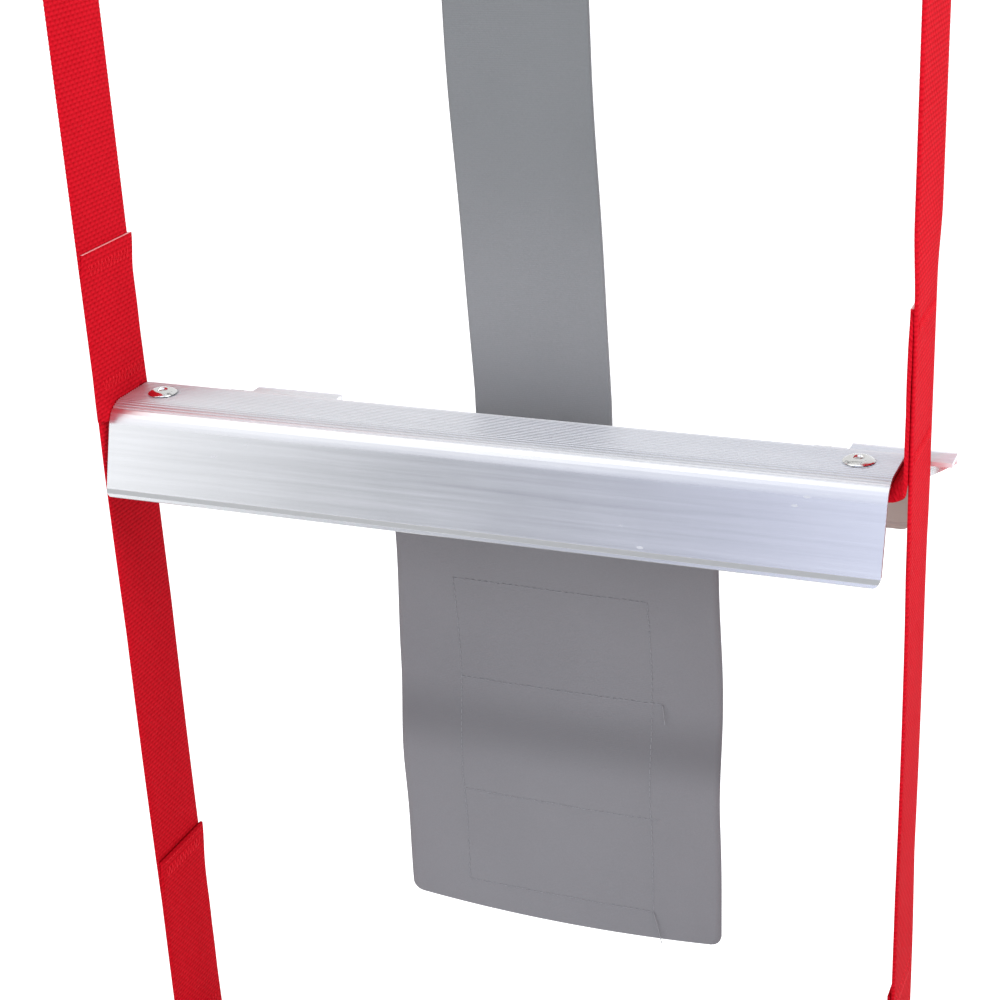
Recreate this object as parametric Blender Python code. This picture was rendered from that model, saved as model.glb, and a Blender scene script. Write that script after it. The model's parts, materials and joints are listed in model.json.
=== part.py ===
"""Window escape ladder: hooks over the sill, webbing sides and nesting channel rungs.

Frame: +Z up, +X along the rungs, +Y from the climber towards the wall. The origin is the middle of
the rubber pad's underside, where the hooks rest on the sill. Lengths are in metres.
"""
import math

import bmesh
import bpy
from mathutils import Vector

# ---------------------------------------------------------------- driving dimensions
GAP = 0.0003                 # clearance between pieces that touch

RUNG_COUNT = 3
RUNG_SPACING = 0.350         # tread to tread
RUNG_LENGTH = 0.350
RUNG_HEIGHT = 0.040
RUNG_TREAD = 0.038           # across the tread, between the sharp corners before rounding
RUNG_FLARE = math.radians(16.6)   # each flange leans out from the vertical
RUNG_CORNER = 0.0115         # outside radius between the tread and a flange
RUNG_WALL = 0.002
BEAD_HEIGHT = 0.0036         # thickened edge along the foot of each flange
BEAD_PROUD = 0.0007
BEAD_SLOPE = 0.0018          # height over which the flange thickens into the bead
BEAD_STEP = 0.0005           # height of the chamfer at its foot
RIB_FLAT = 0.22              # half of a rib's flat top, as a share of the pitch
RIB_SLOPE = 0.14             # a rib's side, as a share of the pitch
END_CORNER = 0.004           # rounded foot corner at each end of a flange
RIB_PITCH = 0.0017           # lengthwise anti-slip ribs on the tread
RIB_DEPTH = 0.0004
RIB_TURN = math.radians(38)  # how far the ribs go round the corners

WEB_WIDTH = 0.040            # red webbing
WEB_THICK = 0.0014
WEB_SHIFT = {"left": -0.005, "right": 0.001}   # each side strap is sewn a little off the centre
FIRST_TAB_RISE = 0.070       # the part of a tab sewn to the strap, above the first tread
TAB_RISE = 0.112             # the same above the other treads
RUNG_SHIFT = 0.0025          # the rungs sit this far to the left of the middle of their straps
TAB_CLEAR = 0.0005           # between the rung's left end and its tab
TAB_BEND = {"left": 0.0025, "right": 0.0065}   # radius of its turn under the tread
TAB_SLACK = 0.0008           # room between the tread's underside and the tab
TAB_MARGIN = 0.003           # webbing left inside the rivet's washer
TAIL_DROP = 0.045            # webbing left below the lowest tread

RIVET_INSET = 0.016          # from the rung's end
RIVET_RADIUS = 0.0024
RIVET_HEAD_RADIUS = 0.007
RIVET_HEAD_HEIGHT = 0.0017
RIVET_HEAD_EDGE = 0.0004
RIVET_HOLE_RADIUS = 0.0023   # where the mandrel broke off
RIVET_HOLE_DEPTH = 0.0011
WASHER_RADIUS = 0.008
WASHER_THICK = 0.0012
BULB_RADIUS = 0.0039         # the swollen end under the washer
BULB_HEIGHT = 0.003
BULB_ROUND = 0.0008

STANDOFF_RUNGS = (1, 3)
STANDOFF_INSET = 0.036       # pivots, from the rung's ends
STANDOFF_LENGTH = 0.053      # pivot to tip
STANDOFF_TOP = 0.006         # below the tread
STANDOFF_DEPTH = 0.027       # height of the web at its root
STANDOFF_WALL = 0.002
STANDOFF_ROOM = 0.001        # between the folded arm and the rung or the webbing
STANDOFF_ROOT = 0.010        # where the angle section starts, from the pivot
STANDOFF_SHOULDER = 0.006    # full depth of the web at its root
STANDOFF_TIP = 0.003         # depth of the web at its tip
HUB_RADIUS = 0.005
HUB_TOP = 0.0123             # below the tread
HUB_HEIGHT = 0.0097
HUB_ROOM = 0.0005            # between the hub and the clip's web
PIN_RADIUS = 0.002
PIN_HEAD_RADIUS = 0.0034
PIN_HEAD_HEIGHT = 0.0008
CLIP_WIDTH = 0.014
CLIP_WALL = 0.002

FIRST_DROP = 0.300           # pivot rod to the first tread
PIVOT_DROP = 0.070           # sill to the pivot rod
PIVOT_RADIUS = 0.005
NUT_WALL = 0.0048            # from the rod to a corner of its nut
NUT_HEIGHT = 0.010
SPACER_RADIUS = 0.010
SPACER_THICK = 0.0015
HANGER_THICK = 0.004
HANGER_EYE = 0.014           # radius of metal round the pivot
HANGER_WRAP = math.radians(25)    # how far the round eye goes past its half turn, on each side
HANGER_SIDE = 0.005          # metal left at each end of the slot
HANGER_SHOULDER = 0.030      # pivot down to the full width
HANGER_CORNER = 0.006
SLOT_ROOM = 0.003            # at each edge of the webbing
SLOT_HEIGHT = 0.008
SLOT_CORNER = 0.002
SLOT_BAR = 0.008             # metal left under the slot
LOOP_JOIN = 0.015            # below the bar, until the two layers of webbing lie together
LOOP_SEWN = 0.038            # length over which they are sewn
LOOP_ROUND = 0.0008          # rounding of the webbing where it turns over the bar

HOOK_PLATE = 0.006
HOOK_BAR = 0.025             # width of the hook's strip
HOOK_FILLET = 0.030
HOOK_ELBOW = 0.018
HOOK_RISE = 0.032            # pivot rod up to the elbow
SILL_THROAT = 0.180          # wall thickness that the hooks take
INNER_DROP = 0.120           # sill down to the middle of the hook's round tip
PAD_THICK = 0.003
PAD_CORNER = 0.005
SILL_BAR_THICK = 0.004
SILL_BAR_WIDTH = 0.045
INNER_BAR_RADIUS = 0.005
INNER_BAR_DROP = 0.085
CAP_WALL = 0.003
CAP_HEIGHT = 0.034
CAP_CORNER = 0.007

STORAGE_ROOM = 0.0056        # between the rungs' feet and the hanging strap
STORAGE_ROD_RADIUS = 0.004
STORAGE_THICK = 0.0015
STORAGE_X = 0.0104           # the strap hangs a little right of the rungs' middle
TAIL_WIDTH = 0.064
PANEL_WIDTH = 0.160
PANEL_TOP = 0.020            # below the first tread
PANEL_FOOT = 0.270           # below the first tread
PANEL_CORNER = 0.008
PANEL_SHOULDER = 0.012       # how far its top edges slope down from the tail
TAPE_WIDTH = 0.090
TAPE_HEIGHT = 0.046
TAPE_PITCH = 0.050
TAPE_THICK = 0.0012
TAPE_TOP = 0.030             # below the panel's top edge
TAPE_CORNER = 0.002

# ---------------------------------------------------------------- sizes that follow
SIDES = {"left": -1, "right": 1}
RUNG_END = RUNG_LENGTH / 2
TREAD_HALF = RUNG_TREAD / 2
FLAT_HALF = TREAD_HALF - RUNG_CORNER * math.tan((math.pi / 2 - RUNG_FLARE) / 2)
CORNER_TURN = math.pi / 2 - RUNG_FLARE
RIBS_EACH_SIDE = int((FLAT_HALF + RUNG_CORNER * RIB_TURN) / RIB_PITCH)


def flange_y(drop):
    """The outside face of a flange, from the rung's middle, at a height below the tread."""
    return TREAD_HALF + drop * math.tan(RUNG_FLARE)


TAB_X = RUNG_SHIFT + RUNG_END + TAB_CLEAR + WEB_THICK / 2   # middle of a tab's upright part
STRAP_X = TAB_X + WEB_THICK + GAP                # middle of a side strap
TAB_DEPTH = RUNG_WALL + TAB_SLACK + WEB_THICK / 2
WASHER_TOP = TAB_DEPTH + WEB_THICK / 2 + GAP
BULB_TOP = WASHER_TOP + WASHER_THICK + GAP

STANDOFF_X = RUNG_END - STANDOFF_INSET
STANDOFF_Y = flange_y(HUB_TOP + HUB_HEIGHT + GAP) + GAP + CLIP_WALL + HUB_ROOM + HUB_RADIUS
STANDOFF_FRONT = STANDOFF_ROOM + max(flange_y(STANDOFF_TOP + STANDOFF_WALL),
                                     max(WEB_SHIFT.values()) + WEB_WIDTH / 2)
WALL_Y = STANDOFF_Y + STANDOFF_LENGTH            # the wall's face, behind the rungs' middle
LADDER_Y = -(WALL_Y + SILL_THROAT / 2)           # the rungs' middle, in the part's frame

PIVOT_Z = -PIVOT_DROP
SLOT_WIDTH = WEB_WIDTH + 2 * (SLOT_ROOM + max(abs(s) for s in WEB_SHIFT.values()))
HANGER_WIDTH = SLOT_WIDTH + 2 * HANGER_SIDE
HANGER_X = STRAP_X - WEB_THICK / 2 - GAP - HANGER_THICK / 2
HANGER_FOOT = HANGER_SHOULDER + 2 * HANGER_CORNER + SLOT_HEIGHT + SLOT_BAR
NUT_RADIUS = PIVOT_RADIUS + NUT_WALL             # to a corner
SPACER_X = HANGER_X - HANGER_THICK / 2 - GAP - SPACER_THICK / 2
HOOK_X = SPACER_X - SPACER_THICK / 2 - GAP - HOOK_PLATE / 2
SILL_BAR_Z = PAD_THICK + GAP
HOOK_UNDERSIDE = SILL_BAR_Z + SILL_BAR_THICK + GAP
LEG_Y = WALL_Y - HOOK_BAR / 2                    # middle of the hook's outer leg
INNER_Y = WALL_Y + SILL_THROAT + HOOK_BAR / 2    # middle of its inner leg
STORAGE_ROD_Y = flange_y(RUNG_HEIGHT) + BEAD_PROUD + STORAGE_ROOM + STORAGE_THICK / 2
STORAGE_ROD_Z = PIVOT_Z + HOOK_RISE * STORAGE_ROD_Y / LEG_Y


# ---------------------------------------------------------------- tools
def clear_scene():
    for item in list(bpy.data.objects):
        bpy.data.objects.remove(item)


def finish(name, colour, roughness, metallic):
    """A Principled material."""
    mat = bpy.data.materials.new(name)
    mat.use_nodes = True
    shader = mat.node_tree.nodes["Principled BSDF"]
    shader.inputs["Base Color"].default_value = (*colour, 1.0)
    shader.inputs["Roughness"].default_value = roughness
    shader.inputs["Metallic"].default_value = metallic
    mat.diffuse_color = (*colour, 1.0)
    return mat


def axis_point(name, place, parent=None):
    """An empty that stands on a joint's axis or at a rung's tread."""
    empty = bpy.data.objects.new(name, None)
    bpy.context.scene.collection.objects.link(empty)
    empty.location = place
    empty.parent = parent
    return empty


def add_object(name, mesh_maker, mat, parent, place=(0, 0, 0), smooth=True):
    """One named object from a bmesh, placed under its parent."""
    mesh = bpy.data.meshes.new(name)
    mesh_maker.to_mesh(mesh)
    mesh_maker.free()
    if smooth:
        mesh.shade_smooth()
        mesh.set_sharp_from_angle(angle=math.radians(35))
    mesh.materials.append(mat)
    piece = bpy.data.objects.new(name, mesh)
    bpy.context.scene.collection.objects.link(piece)
    piece.location = place
    piece.parent = parent
    return piece


def prism(outline, along, low, high):
    """A closed prism: a 2-D outline in the plane across one axis, stretched along that axis."""
    order = {"X": (2, 0, 1), "Y": (0, 2, 1), "Z": (0, 1, 2)}[along]

    def corner(point, level):
        values = (point[0], point[1], level)
        return Vector([values[i] for i in order])

    bm = bmesh.new()
    bottom = [bm.verts.new(corner(p, low)) for p in outline]
    top = [bm.verts.new(corner(p, high)) for p in outline]
    bm.faces.new(bottom)
    bm.faces.new(top)
    for i in range(len(outline)):
        j = (i + 1) % len(outline)
        bm.faces.new((bottom[i], bottom[j], top[j], top[i]))
    bmesh.ops.recalc_face_normals(bm, faces=bm.faces)
    return bm


def turned(profile, segments, along="Z"):
    """A closed turned solid from (radius, height) points that start and end on the axis."""
    bm = bmesh.new()
    rings = []
    for radius, height in profile:
        if radius == 0:
            rings.append([bm.verts.new((0, 0, height))])
            continue
        turn = [2 * math.pi * i / segments for i in range(segments)]
        rings.append([bm.verts.new((radius * math.cos(a), radius * math.sin(a), height)) for a in turn])
    for one, two in zip(rings, rings[1:]):
        for i in range(segments):
            j = (i + 1) % segments
            loop = [one[i % len(one)], one[j % len(one)], two[j % len(two)], two[i % len(two)]]
            corners = list(dict.fromkeys(loop))
            bm.faces.new(corners)
    bmesh.ops.recalc_face_normals(bm, faces=bm.faces)
    if along == "X":
        turn_to_x(bm)
    return bm


def turn_to_x(bm):
    """Lays a solid made along Z down along X."""
    for vert in bm.verts:
        x, y, z = vert.co
        vert.co = (z, y, -x)


def rod(radius, half_length, segments, along="X"):
    return turned([(0, -half_length), (radius, -half_length), (radius, half_length), (0, half_length)],
                  segments, along)


def box(low, high):
    outline = [(low[0], low[1]), (high[0], low[1]), (high[0], high[1]), (low[0], high[1])]
    return prism(outline, "Z", low[2], high[2])


def tool(name, mesh_maker, parent, place=(0, 0, 0)):
    """A cutter or a piece to be joined: kept in the file, never shown."""
    cutter = add_object(name, mesh_maker, TOOL_FINISH, parent, place, smooth=False)
    cutter.hide_render = True
    cutter.display_type = "WIRE"
    return cutter


def combine(piece, operation, other):
    change = piece.modifiers.new(other.name, "BOOLEAN")
    change.operation = operation
    change.solver = "EXACT"
    change.object = other


def arc(centre, radius, start, end, steps):
    """Points along a round stretch; angles in radians."""
    angles = [start + (end - start) * i / steps for i in range(steps + 1)]
    return [(centre[0] + radius * math.cos(a), centre[1] + radius * math.sin(a)) for a in angles]


def rounded_rectangle(low, high, radius, steps=4):
    quarter = math.pi / 2
    centres = [(high[0] - radius, high[1] - radius), (low[0] + radius, high[1] - radius),
               (low[0] + radius, low[1] + radius), (high[0] - radius, low[1] + radius)]
    points = []
    for i, centre in enumerate(centres):
        points += arc(centre, radius, i * quarter, (i + 1) * quarter, steps)
    return points


def strip_outline(path, fillets, width, steps=5):
    """The outline of a strip of one width along a bent centre line, with round ends."""
    corners = [Vector(p) for p in path]
    points = []
    for i, corner in enumerate(corners):
        if i in (0, len(corners) - 1):
            points.append(corner)
            continue
        before = (corners[i - 1] - corner).normalized()
        after = (corners[i + 1] - corner).normalized()
        half = before.angle(after) / 2
        centre = corner + (before + after).normalized() * fillets[i] / math.sin(half)
        first = corner + before * fillets[i] / math.tan(half) - centre
        sweep = (math.pi - 2 * half) * (1 if before.x * after.y - before.y * after.x < 0 else -1)
        for k in range(steps + 1):
            a = sweep * k / steps
            turned_point = Vector((first.x * math.cos(a) - first.y * math.sin(a),
                                   first.x * math.sin(a) + first.y * math.cos(a)))
            points.append(centre + turned_point)
    left, right = [], []
    for i, point in enumerate(points):
        ahead = points[min(i + 1, len(points) - 1)] - points[max(i - 1, 0)]
        side = Vector((-ahead.y, ahead.x)).normalized() * width / 2
        left.append(point + side)
        right.append(point - side)

    def cap(point, outward):
        start = math.atan2(outward.y, outward.x) + math.pi / 2
        return [Vector(p) for p in arc(point, width / 2, start, start - math.pi, 8)][1:-1]

    end_cap = cap(points[-1], points[-1] - points[-2])
    start_cap = cap(points[0], points[0] - points[1])
    return left + end_cap + list(reversed(right)) + start_cap


# ---------------------------------------------------------------- the rung's section
def skin(s, depth):
    """A point of the rung's section: s along the outside from the middle of the tread, depth inwards."""
    side = -1 if s < 0 else 1
    run = abs(s)
    if run <= FLAT_HALF:
        return (s, -depth)
    turn = min((run - FLAT_HALF) / RUNG_CORNER, CORNER_TURN)
    radius = RUNG_CORNER - depth
    y = FLAT_HALF + radius * math.sin(turn)
    z = -RUNG_CORNER + radius * math.cos(turn)
    left_over = run - FLAT_HALF - RUNG_CORNER * turn
    y += left_over * math.sin(RUNG_FLARE)
    z -= left_over * math.cos(RUNG_FLARE)
    return (side * y, z)


def skin_at_height(drop, depth):
    """How far along the outside the flange has come down by drop, for a point depth inwards."""
    turned_z = -RUNG_CORNER + (RUNG_CORNER - depth) * math.cos(CORNER_TURN)
    return FLAT_HALF + RUNG_CORNER * CORNER_TURN + (drop + turned_z) / math.cos(RUNG_FLARE)


def rung_section():
    """Half of the outside, from the tread's middle to the foot, then half of the inside; mirrored."""
    half = []
    for i in range(RIBS_EACH_SIDE + 1):
        middle = i * RIB_PITCH
        if i:
            half.append(skin(middle - RIB_FLAT * RIB_PITCH, 0))
        half.append(skin(middle + RIB_FLAT * RIB_PITCH, 0))
        half.append(skin(middle + (RIB_FLAT + RIB_SLOPE) * RIB_PITCH, RIB_DEPTH))
        half.append(skin(middle + (1 - RIB_FLAT - RIB_SLOPE) * RIB_PITCH, RIB_DEPTH))
    after_ribs = (RIBS_EACH_SIDE + 1) * RIB_PITCH
    corner_end = FLAT_HALF + RUNG_CORNER * CORNER_TURN
    half.append(skin(after_ribs - RIB_FLAT * RIB_PITCH, 0))
    for k in range(1, 5):
        half.append(skin(after_ribs + (corner_end - after_ribs) * k / 4, 0))
    bead_top = RUNG_HEIGHT - BEAD_HEIGHT
    for drop, depth in ((bead_top, 0), (bead_top + BEAD_SLOPE, -BEAD_PROUD),
                        (RUNG_HEIGHT - BEAD_STEP, -BEAD_PROUD), (RUNG_HEIGHT, 0)):
        half.append(skin(skin_at_height(drop, depth), depth))
    inside = [skin(skin_at_height(RUNG_HEIGHT, RUNG_WALL), RUNG_WALL)]
    for k in range(7):
        inside.append(skin(corner_end + (FLAT_HALF - corner_end) * k / 6, RUNG_WALL))
    half += inside
    return half + [(-y, z) for y, z in reversed(half)]


def make_rung(name, mat, parent):
    rung = add_object(name, prism(rung_section(), "X", -RUNG_END, RUNG_END), mat, parent)
    trim_outline = rounded_rectangle((-RUNG_END, -RUNG_HEIGHT), (RUNG_END, 2 * END_CORNER), END_CORNER)
    reach = TREAD_HALF + RUNG_HEIGHT
    trim = tool(name + "_end_trim", prism(trim_outline, "Y", -reach, reach), parent)
    combine(rung, "INTERSECT", trim)
    for side, sign in SIDES.items():
        combine(rung, "DIFFERENCE", rivet_drill(name + "_drill_" + side, parent, sign))
    return rung


def rivet_drill(name, parent, sign):
    place = (sign * (RUNG_END - RIVET_INSET), 0, 0)
    return tool(name, rod(RIVET_RADIUS + GAP, RUNG_HEIGHT / 2, 16, "Z"), parent, place)


# ---------------------------------------------------------------- pieces on a rung
def make_rivet(name, mat, parent, sign):
    foot = -BULB_TOP - BULB_HEIGHT
    head = GAP + RIVET_HEAD_HEIGHT
    profile = [
        (0, head - RIVET_HOLE_DEPTH),
        (0.87 * RIVET_HOLE_RADIUS, head - RIVET_HOLE_DEPTH),
        (RIVET_HOLE_RADIUS, head - 0.1 * RIVET_HOLE_DEPTH),
        (1.26 * RIVET_HOLE_RADIUS, head),
        (0.68 * RIVET_HEAD_RADIUS, head - 0.2 * RIVET_HEAD_HEIGHT),
        (RIVET_HEAD_RADIUS, GAP + RIVET_HEAD_EDGE),
        (RIVET_HEAD_RADIUS, GAP),
        (RIVET_RADIUS, GAP),
        (RIVET_RADIUS, -BULB_TOP),
        (BULB_RADIUS, -BULB_TOP - BULB_ROUND),
        (BULB_RADIUS, foot + BULB_ROUND),
        (0, foot),
    ]
    place = (sign * (RUNG_END - RIVET_INSET), 0, 0)
    return add_object(name, turned(profile, 16), mat, parent, place)


def make_washer(name, mat, parent, sign):
    hole = RIVET_RADIUS + GAP
    place = (sign * (RUNG_END - RIVET_INSET), 0, -WASHER_TOP - WASHER_THICK / 2)
    return add_object(name, ring(WASHER_RADIUS, hole, WASHER_THICK, "Z", 16), mat, parent, place)


def ring(outer, inner, thick, along, segments):
    """A flat washer."""
    bm = bmesh.new()
    loops = []
    for radius, z in ((outer, -thick / 2), (outer, thick / 2), (inner, thick / 2), (inner, -thick / 2)):
        turn = [2 * math.pi * i / segments for i in range(segments)]
        loops.append([bm.verts.new((radius * math.cos(a), radius * math.sin(a), z)) for a in turn])
    for k in range(4):
        one, two = loops[k], loops[(k + 1) % 4]
        for i in range(segments):
            j = (i + 1) % segments
            bm.faces.new((one[i], one[j], two[j], two[i]))
    bmesh.ops.recalc_face_normals(bm, faces=bm.faces)
    if along == "X":
        turn_to_x(bm)
    return bm


def under_tread(across):
    """Where a point of the webbing, measured across its width, lies against the inside of the rung."""
    radius = RUNG_CORNER - TAB_DEPTH
    turn = min(max(abs(across) - FLAT_HALF, 0) / radius, CORNER_TURN)
    past_corner = max(abs(across) - FLAT_HALF - radius * CORNER_TURN, 0)
    run = min(abs(across), FLAT_HALF) + RUNG_CORNER * turn + past_corner
    return skin(math.copysign(run, across), TAB_DEPTH)


def tab_reach(side):
    """From the rung's middle to the middle of a tab's upright part."""
    return TAB_X + SIDES[side] * RUNG_SHIFT


def tab_point(across, station, side):
    """A point of the tab's middle surface: upright beside the rung's end, then arched under the tread."""
    under_y, under_z = under_tread(across)
    reach, bend, sign = tab_reach(side), TAB_BEND[side], SIDES[side]
    kind, value = station
    if kind == "upright":
        return Vector((sign * reach, across + WEB_SHIFT[side], value))
    if kind == "bend":
        x = reach - bend + bend * math.cos(value)
        z = under_z + bend - bend * math.sin(value)
        return Vector((sign * x, under_y, z))
    return Vector((sign * value, under_y, under_z))


def make_tab(name, mat, parent, side, rise):
    """A strip of webbing sewn to the strap above, turned in under the tread for the rivet."""
    inner_end = RUNG_END - RIVET_INSET - WASHER_RADIUS - TAB_MARGIN
    bend_end = tab_reach(side) - TAB_BEND[side]
    stations = [("upright", rise), ("upright", rise / 2), ("upright", rise / 8)]
    stations += [("bend", math.pi / 2 * k / 4) for k in range(5)]
    stations += [("under", (3 * bend_end + inner_end) / 4), ("under", inner_end)]
    columns = 10
    bm = bmesh.new()
    grid = []
    for station in stations:
        steps = [WEB_WIDTH * (k / columns - 0.5) for k in range(columns + 1)]
        grid.append([bm.verts.new(tab_point(step, station, side)) for step in steps])
    for one, two in zip(grid, grid[1:]):
        for k in range(columns):
            bm.faces.new((one[k], one[k + 1], two[k + 1], two[k]))
    bmesh.ops.recalc_face_normals(bm, faces=bm.faces)
    tab = add_object(name, bm, mat, parent)
    thicken = tab.modifiers.new("webbing thickness", "SOLIDIFY")
    thicken.thickness = WEB_THICK
    thicken.offset = 0
    combine(tab, "DIFFERENCE", rivet_drill(name + "_drill", parent, SIDES[side]))
    return tab


def make_clip(name, mat, parent, sign):
    """A folded clip on the back flange, with two ears for the stand-off's pin."""
    back = STANDOFF_Y + HUB_RADIUS
    upper, lower = HUB_TOP - GAP, HUB_TOP + HUB_HEIGHT + GAP
    top, foot = upper - CLIP_WALL, lower + CLIP_WALL

    def seat(drop):
        return flange_y(drop) + GAP

    outline = [(seat(top), -top), (back, -top), (back, -upper), (seat(upper) + CLIP_WALL, -upper),
               (seat(lower) + CLIP_WALL, -lower), (back, -lower), (back, -foot), (seat(foot), -foot)]
    middle = sign * STANDOFF_X
    half = CLIP_WIDTH / 2
    clip = add_object(name, prism(outline, "X", middle - half, middle + half), mat, parent)
    drill = tool(name + "_drill", rod(PIN_RADIUS + GAP, RUNG_HEIGHT, 14, "Z"), parent,
                 (middle, STANDOFF_Y, 0))
    combine(clip, "DIFFERENCE", drill)
    return clip


def make_pin(name, mat, parent, sign):
    top = -(HUB_TOP - GAP - CLIP_WALL) + GAP
    foot = -(HUB_TOP + HUB_HEIGHT + GAP + CLIP_WALL) - GAP
    head, crown = PIN_HEAD_RADIUS, 0.7 * PIN_HEAD_RADIUS
    profile = [(0, top + PIN_HEAD_HEIGHT), (crown, top + PIN_HEAD_HEIGHT), (head, top), (PIN_RADIUS, top),
               (PIN_RADIUS, foot), (head, foot), (crown, foot - PIN_HEAD_HEIGHT),
               (0, foot - PIN_HEAD_HEIGHT)]
    return add_object(name, turned(profile, 14), mat, parent, (sign * STANDOFF_X, STANDOFF_Y, 0))


def standoff_section():
    """The stand-off's angle section, in Y from its pivot and Z from the tread: ribbed top, upright web."""
    top = -STANDOFF_TOP
    back = STANDOFF_WALL / 2
    front = STANDOFF_FRONT - STANDOFF_Y
    points = []
    count = int((back - front) / RIB_PITCH)
    for i in range(count):
        start = front + i * RIB_PITCH
        rib_end = start + 2 * RIB_FLAT * RIB_PITCH
        points += [(start, top), (rib_end, top), (rib_end + RIB_SLOPE * RIB_PITCH, top - RIB_DEPTH),
                   (start + (1 - RIB_SLOPE) * RIB_PITCH, top - RIB_DEPTH)]
    points += [(front + count * RIB_PITCH, top), (back, top)]
    points += [(back, top - STANDOFF_DEPTH), (-back, top - STANDOFF_DEPTH),
               (-back, top - STANDOFF_WALL), (front, top - STANDOFF_WALL)]
    return points


def make_standoff(name, mat, pivot):
    """The arm that swings out to the wall. It lies along +X when folded; its pivot is its origin."""
    arm = add_object(name, prism(standoff_section(), "X", STANDOFF_ROOT, STANDOFF_LENGTH), mat, pivot)
    middle = -HUB_TOP - HUB_HEIGHT / 2
    half = HUB_HEIGHT / 2 - GAP
    web = STANDOFF_WALL / 2
    neck = box((0, -web, middle - half), (STANDOFF_ROOT + STANDOFF_WALL, web, middle + half))
    combine(arm, "UNION", tool(name + "_neck", neck, pivot))
    hub = tool(name + "_hub", rod(HUB_RADIUS, HUB_HEIGHT / 2, 16, "Z"), pivot, (0, 0, middle))
    combine(arm, "UNION", hub)
    foot = -STANDOFF_TOP - STANDOFF_DEPTH
    shoulder = STANDOFF_ROOT + STANDOFF_SHOULDER
    tip_z = -STANDOFF_TOP - STANDOFF_TIP
    past = STANDOFF_WALL     # how far the cutter reaches beyond the metal
    wedge = [(shoulder, foot - past), (STANDOFF_LENGTH + past, foot - past),
             (STANDOFF_LENGTH + past, tip_z), (shoulder, foot)]
    combine(arm, "DIFFERENCE", tool(name + "_taper", prism(wedge, "Y", -web - past, web + past), pivot))
    hole = tool(name + "_hole", rod(PIN_RADIUS + GAP, RUNG_HEIGHT, 14, "Z"), pivot)
    combine(arm, "DIFFERENCE", hole)
    return arm


# ---------------------------------------------------------------- webbing sides
def make_strap(name, mat, parent, side, top, foot):
    """One bay of a side strap, from the tread above to the tread below, in its parent's frame."""
    middle_x, middle_y = SIDES[side] * STRAP_X + RUNG_SHIFT, WEB_SHIFT[side]
    low = (middle_x - WEB_THICK / 2, middle_y - WEB_WIDTH / 2, foot)
    high = (middle_x + WEB_THICK / 2, middle_y + WEB_WIDTH / 2, top)
    return add_object(name, box(low, high), mat, parent)


def make_top_strap(name, mat, parent, side, foot):
    """The first bay: up to the hanger, round the bar under its slot and sewn back on itself."""
    sign, middle_y = SIDES[side], WEB_SHIFT[side]
    outer = STRAP_X + WEB_THICK / 2
    inner = HANGER_X - HANGER_THICK / 2 - GAP - WEB_THICK
    loop_top = -HANGER_FOOT + SLOT_BAR + GAP + WEB_THICK
    loop_foot = -HANGER_FOOT - GAP
    sewn_top = loop_foot - LOOP_JOIN
    sewn_foot = sewn_top - LOOP_SEWN
    doubled = TAB_X - WEB_THICK / 2
    rounding = LOOP_ROUND
    outline = [(outer, foot), (outer, loop_top - rounding), (outer - rounding, loop_top),
               (inner + rounding, loop_top), (inner, loop_top - rounding), (inner, loop_foot),
               (doubled, sewn_top), (doubled, sewn_foot), (STRAP_X - WEB_THICK / 2, sewn_foot),
               (STRAP_X - WEB_THICK / 2, foot)]
    points = [(sign * x, z) for x, z in outline]
    low, high = middle_y - WEB_WIDTH / 2, middle_y + WEB_WIDTH / 2
    strap = add_object(name, prism(points, "Y", low, high), mat, parent)
    half = HANGER_THICK / 2 + GAP
    window = box((sign * HANGER_X - half, low - WEB_WIDTH, -HANGER_FOOT - GAP),
                 (sign * HANGER_X + half, high + WEB_WIDTH, -HANGER_FOOT + SLOT_BAR + GAP))
    combine(strap, "DIFFERENCE", tool(name + "_window", window, parent))
    return strap


def make_hanger(name, mat, parent, sign):
    """A steel plate that swings on the pivot rod and carries the webbing in its slot."""
    half = HANGER_WIDTH / 2
    outline = arc((0, 0), HANGER_EYE, -HANGER_WRAP, math.pi + HANGER_WRAP, 12)
    outline += [(-half, -HANGER_SHOULDER)]
    quarter = math.pi / 2
    low = -HANGER_FOOT + HANGER_CORNER
    outline += arc((-half + HANGER_CORNER, low), HANGER_CORNER, 2 * quarter, 3 * quarter, 4)
    outline += arc((half - HANGER_CORNER, low), HANGER_CORNER, 3 * quarter, 4 * quarter, 4)
    outline += [(half, -HANGER_SHOULDER)]
    middle = sign * HANGER_X
    hanger = add_object(name, prism(outline, "X", middle - HANGER_THICK / 2, middle + HANGER_THICK / 2),
                        mat, parent)
    slot_foot = -HANGER_FOOT + SLOT_BAR
    slot = rounded_rectangle((-SLOT_WIDTH / 2, slot_foot),
                             (SLOT_WIDTH / 2, slot_foot + SLOT_HEIGHT), SLOT_CORNER, 3)
    combine(hanger, "DIFFERENCE",
            tool(name + "_slot", prism(slot, "X", middle - HANGER_THICK, middle + HANGER_THICK), parent))
    eye = tool(name + "_eye", rod(PIVOT_RADIUS + GAP, HANGER_THICK, 20), parent, (middle, 0, 0))
    combine(hanger, "DIFFERENCE", eye)
    return hanger


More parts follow.
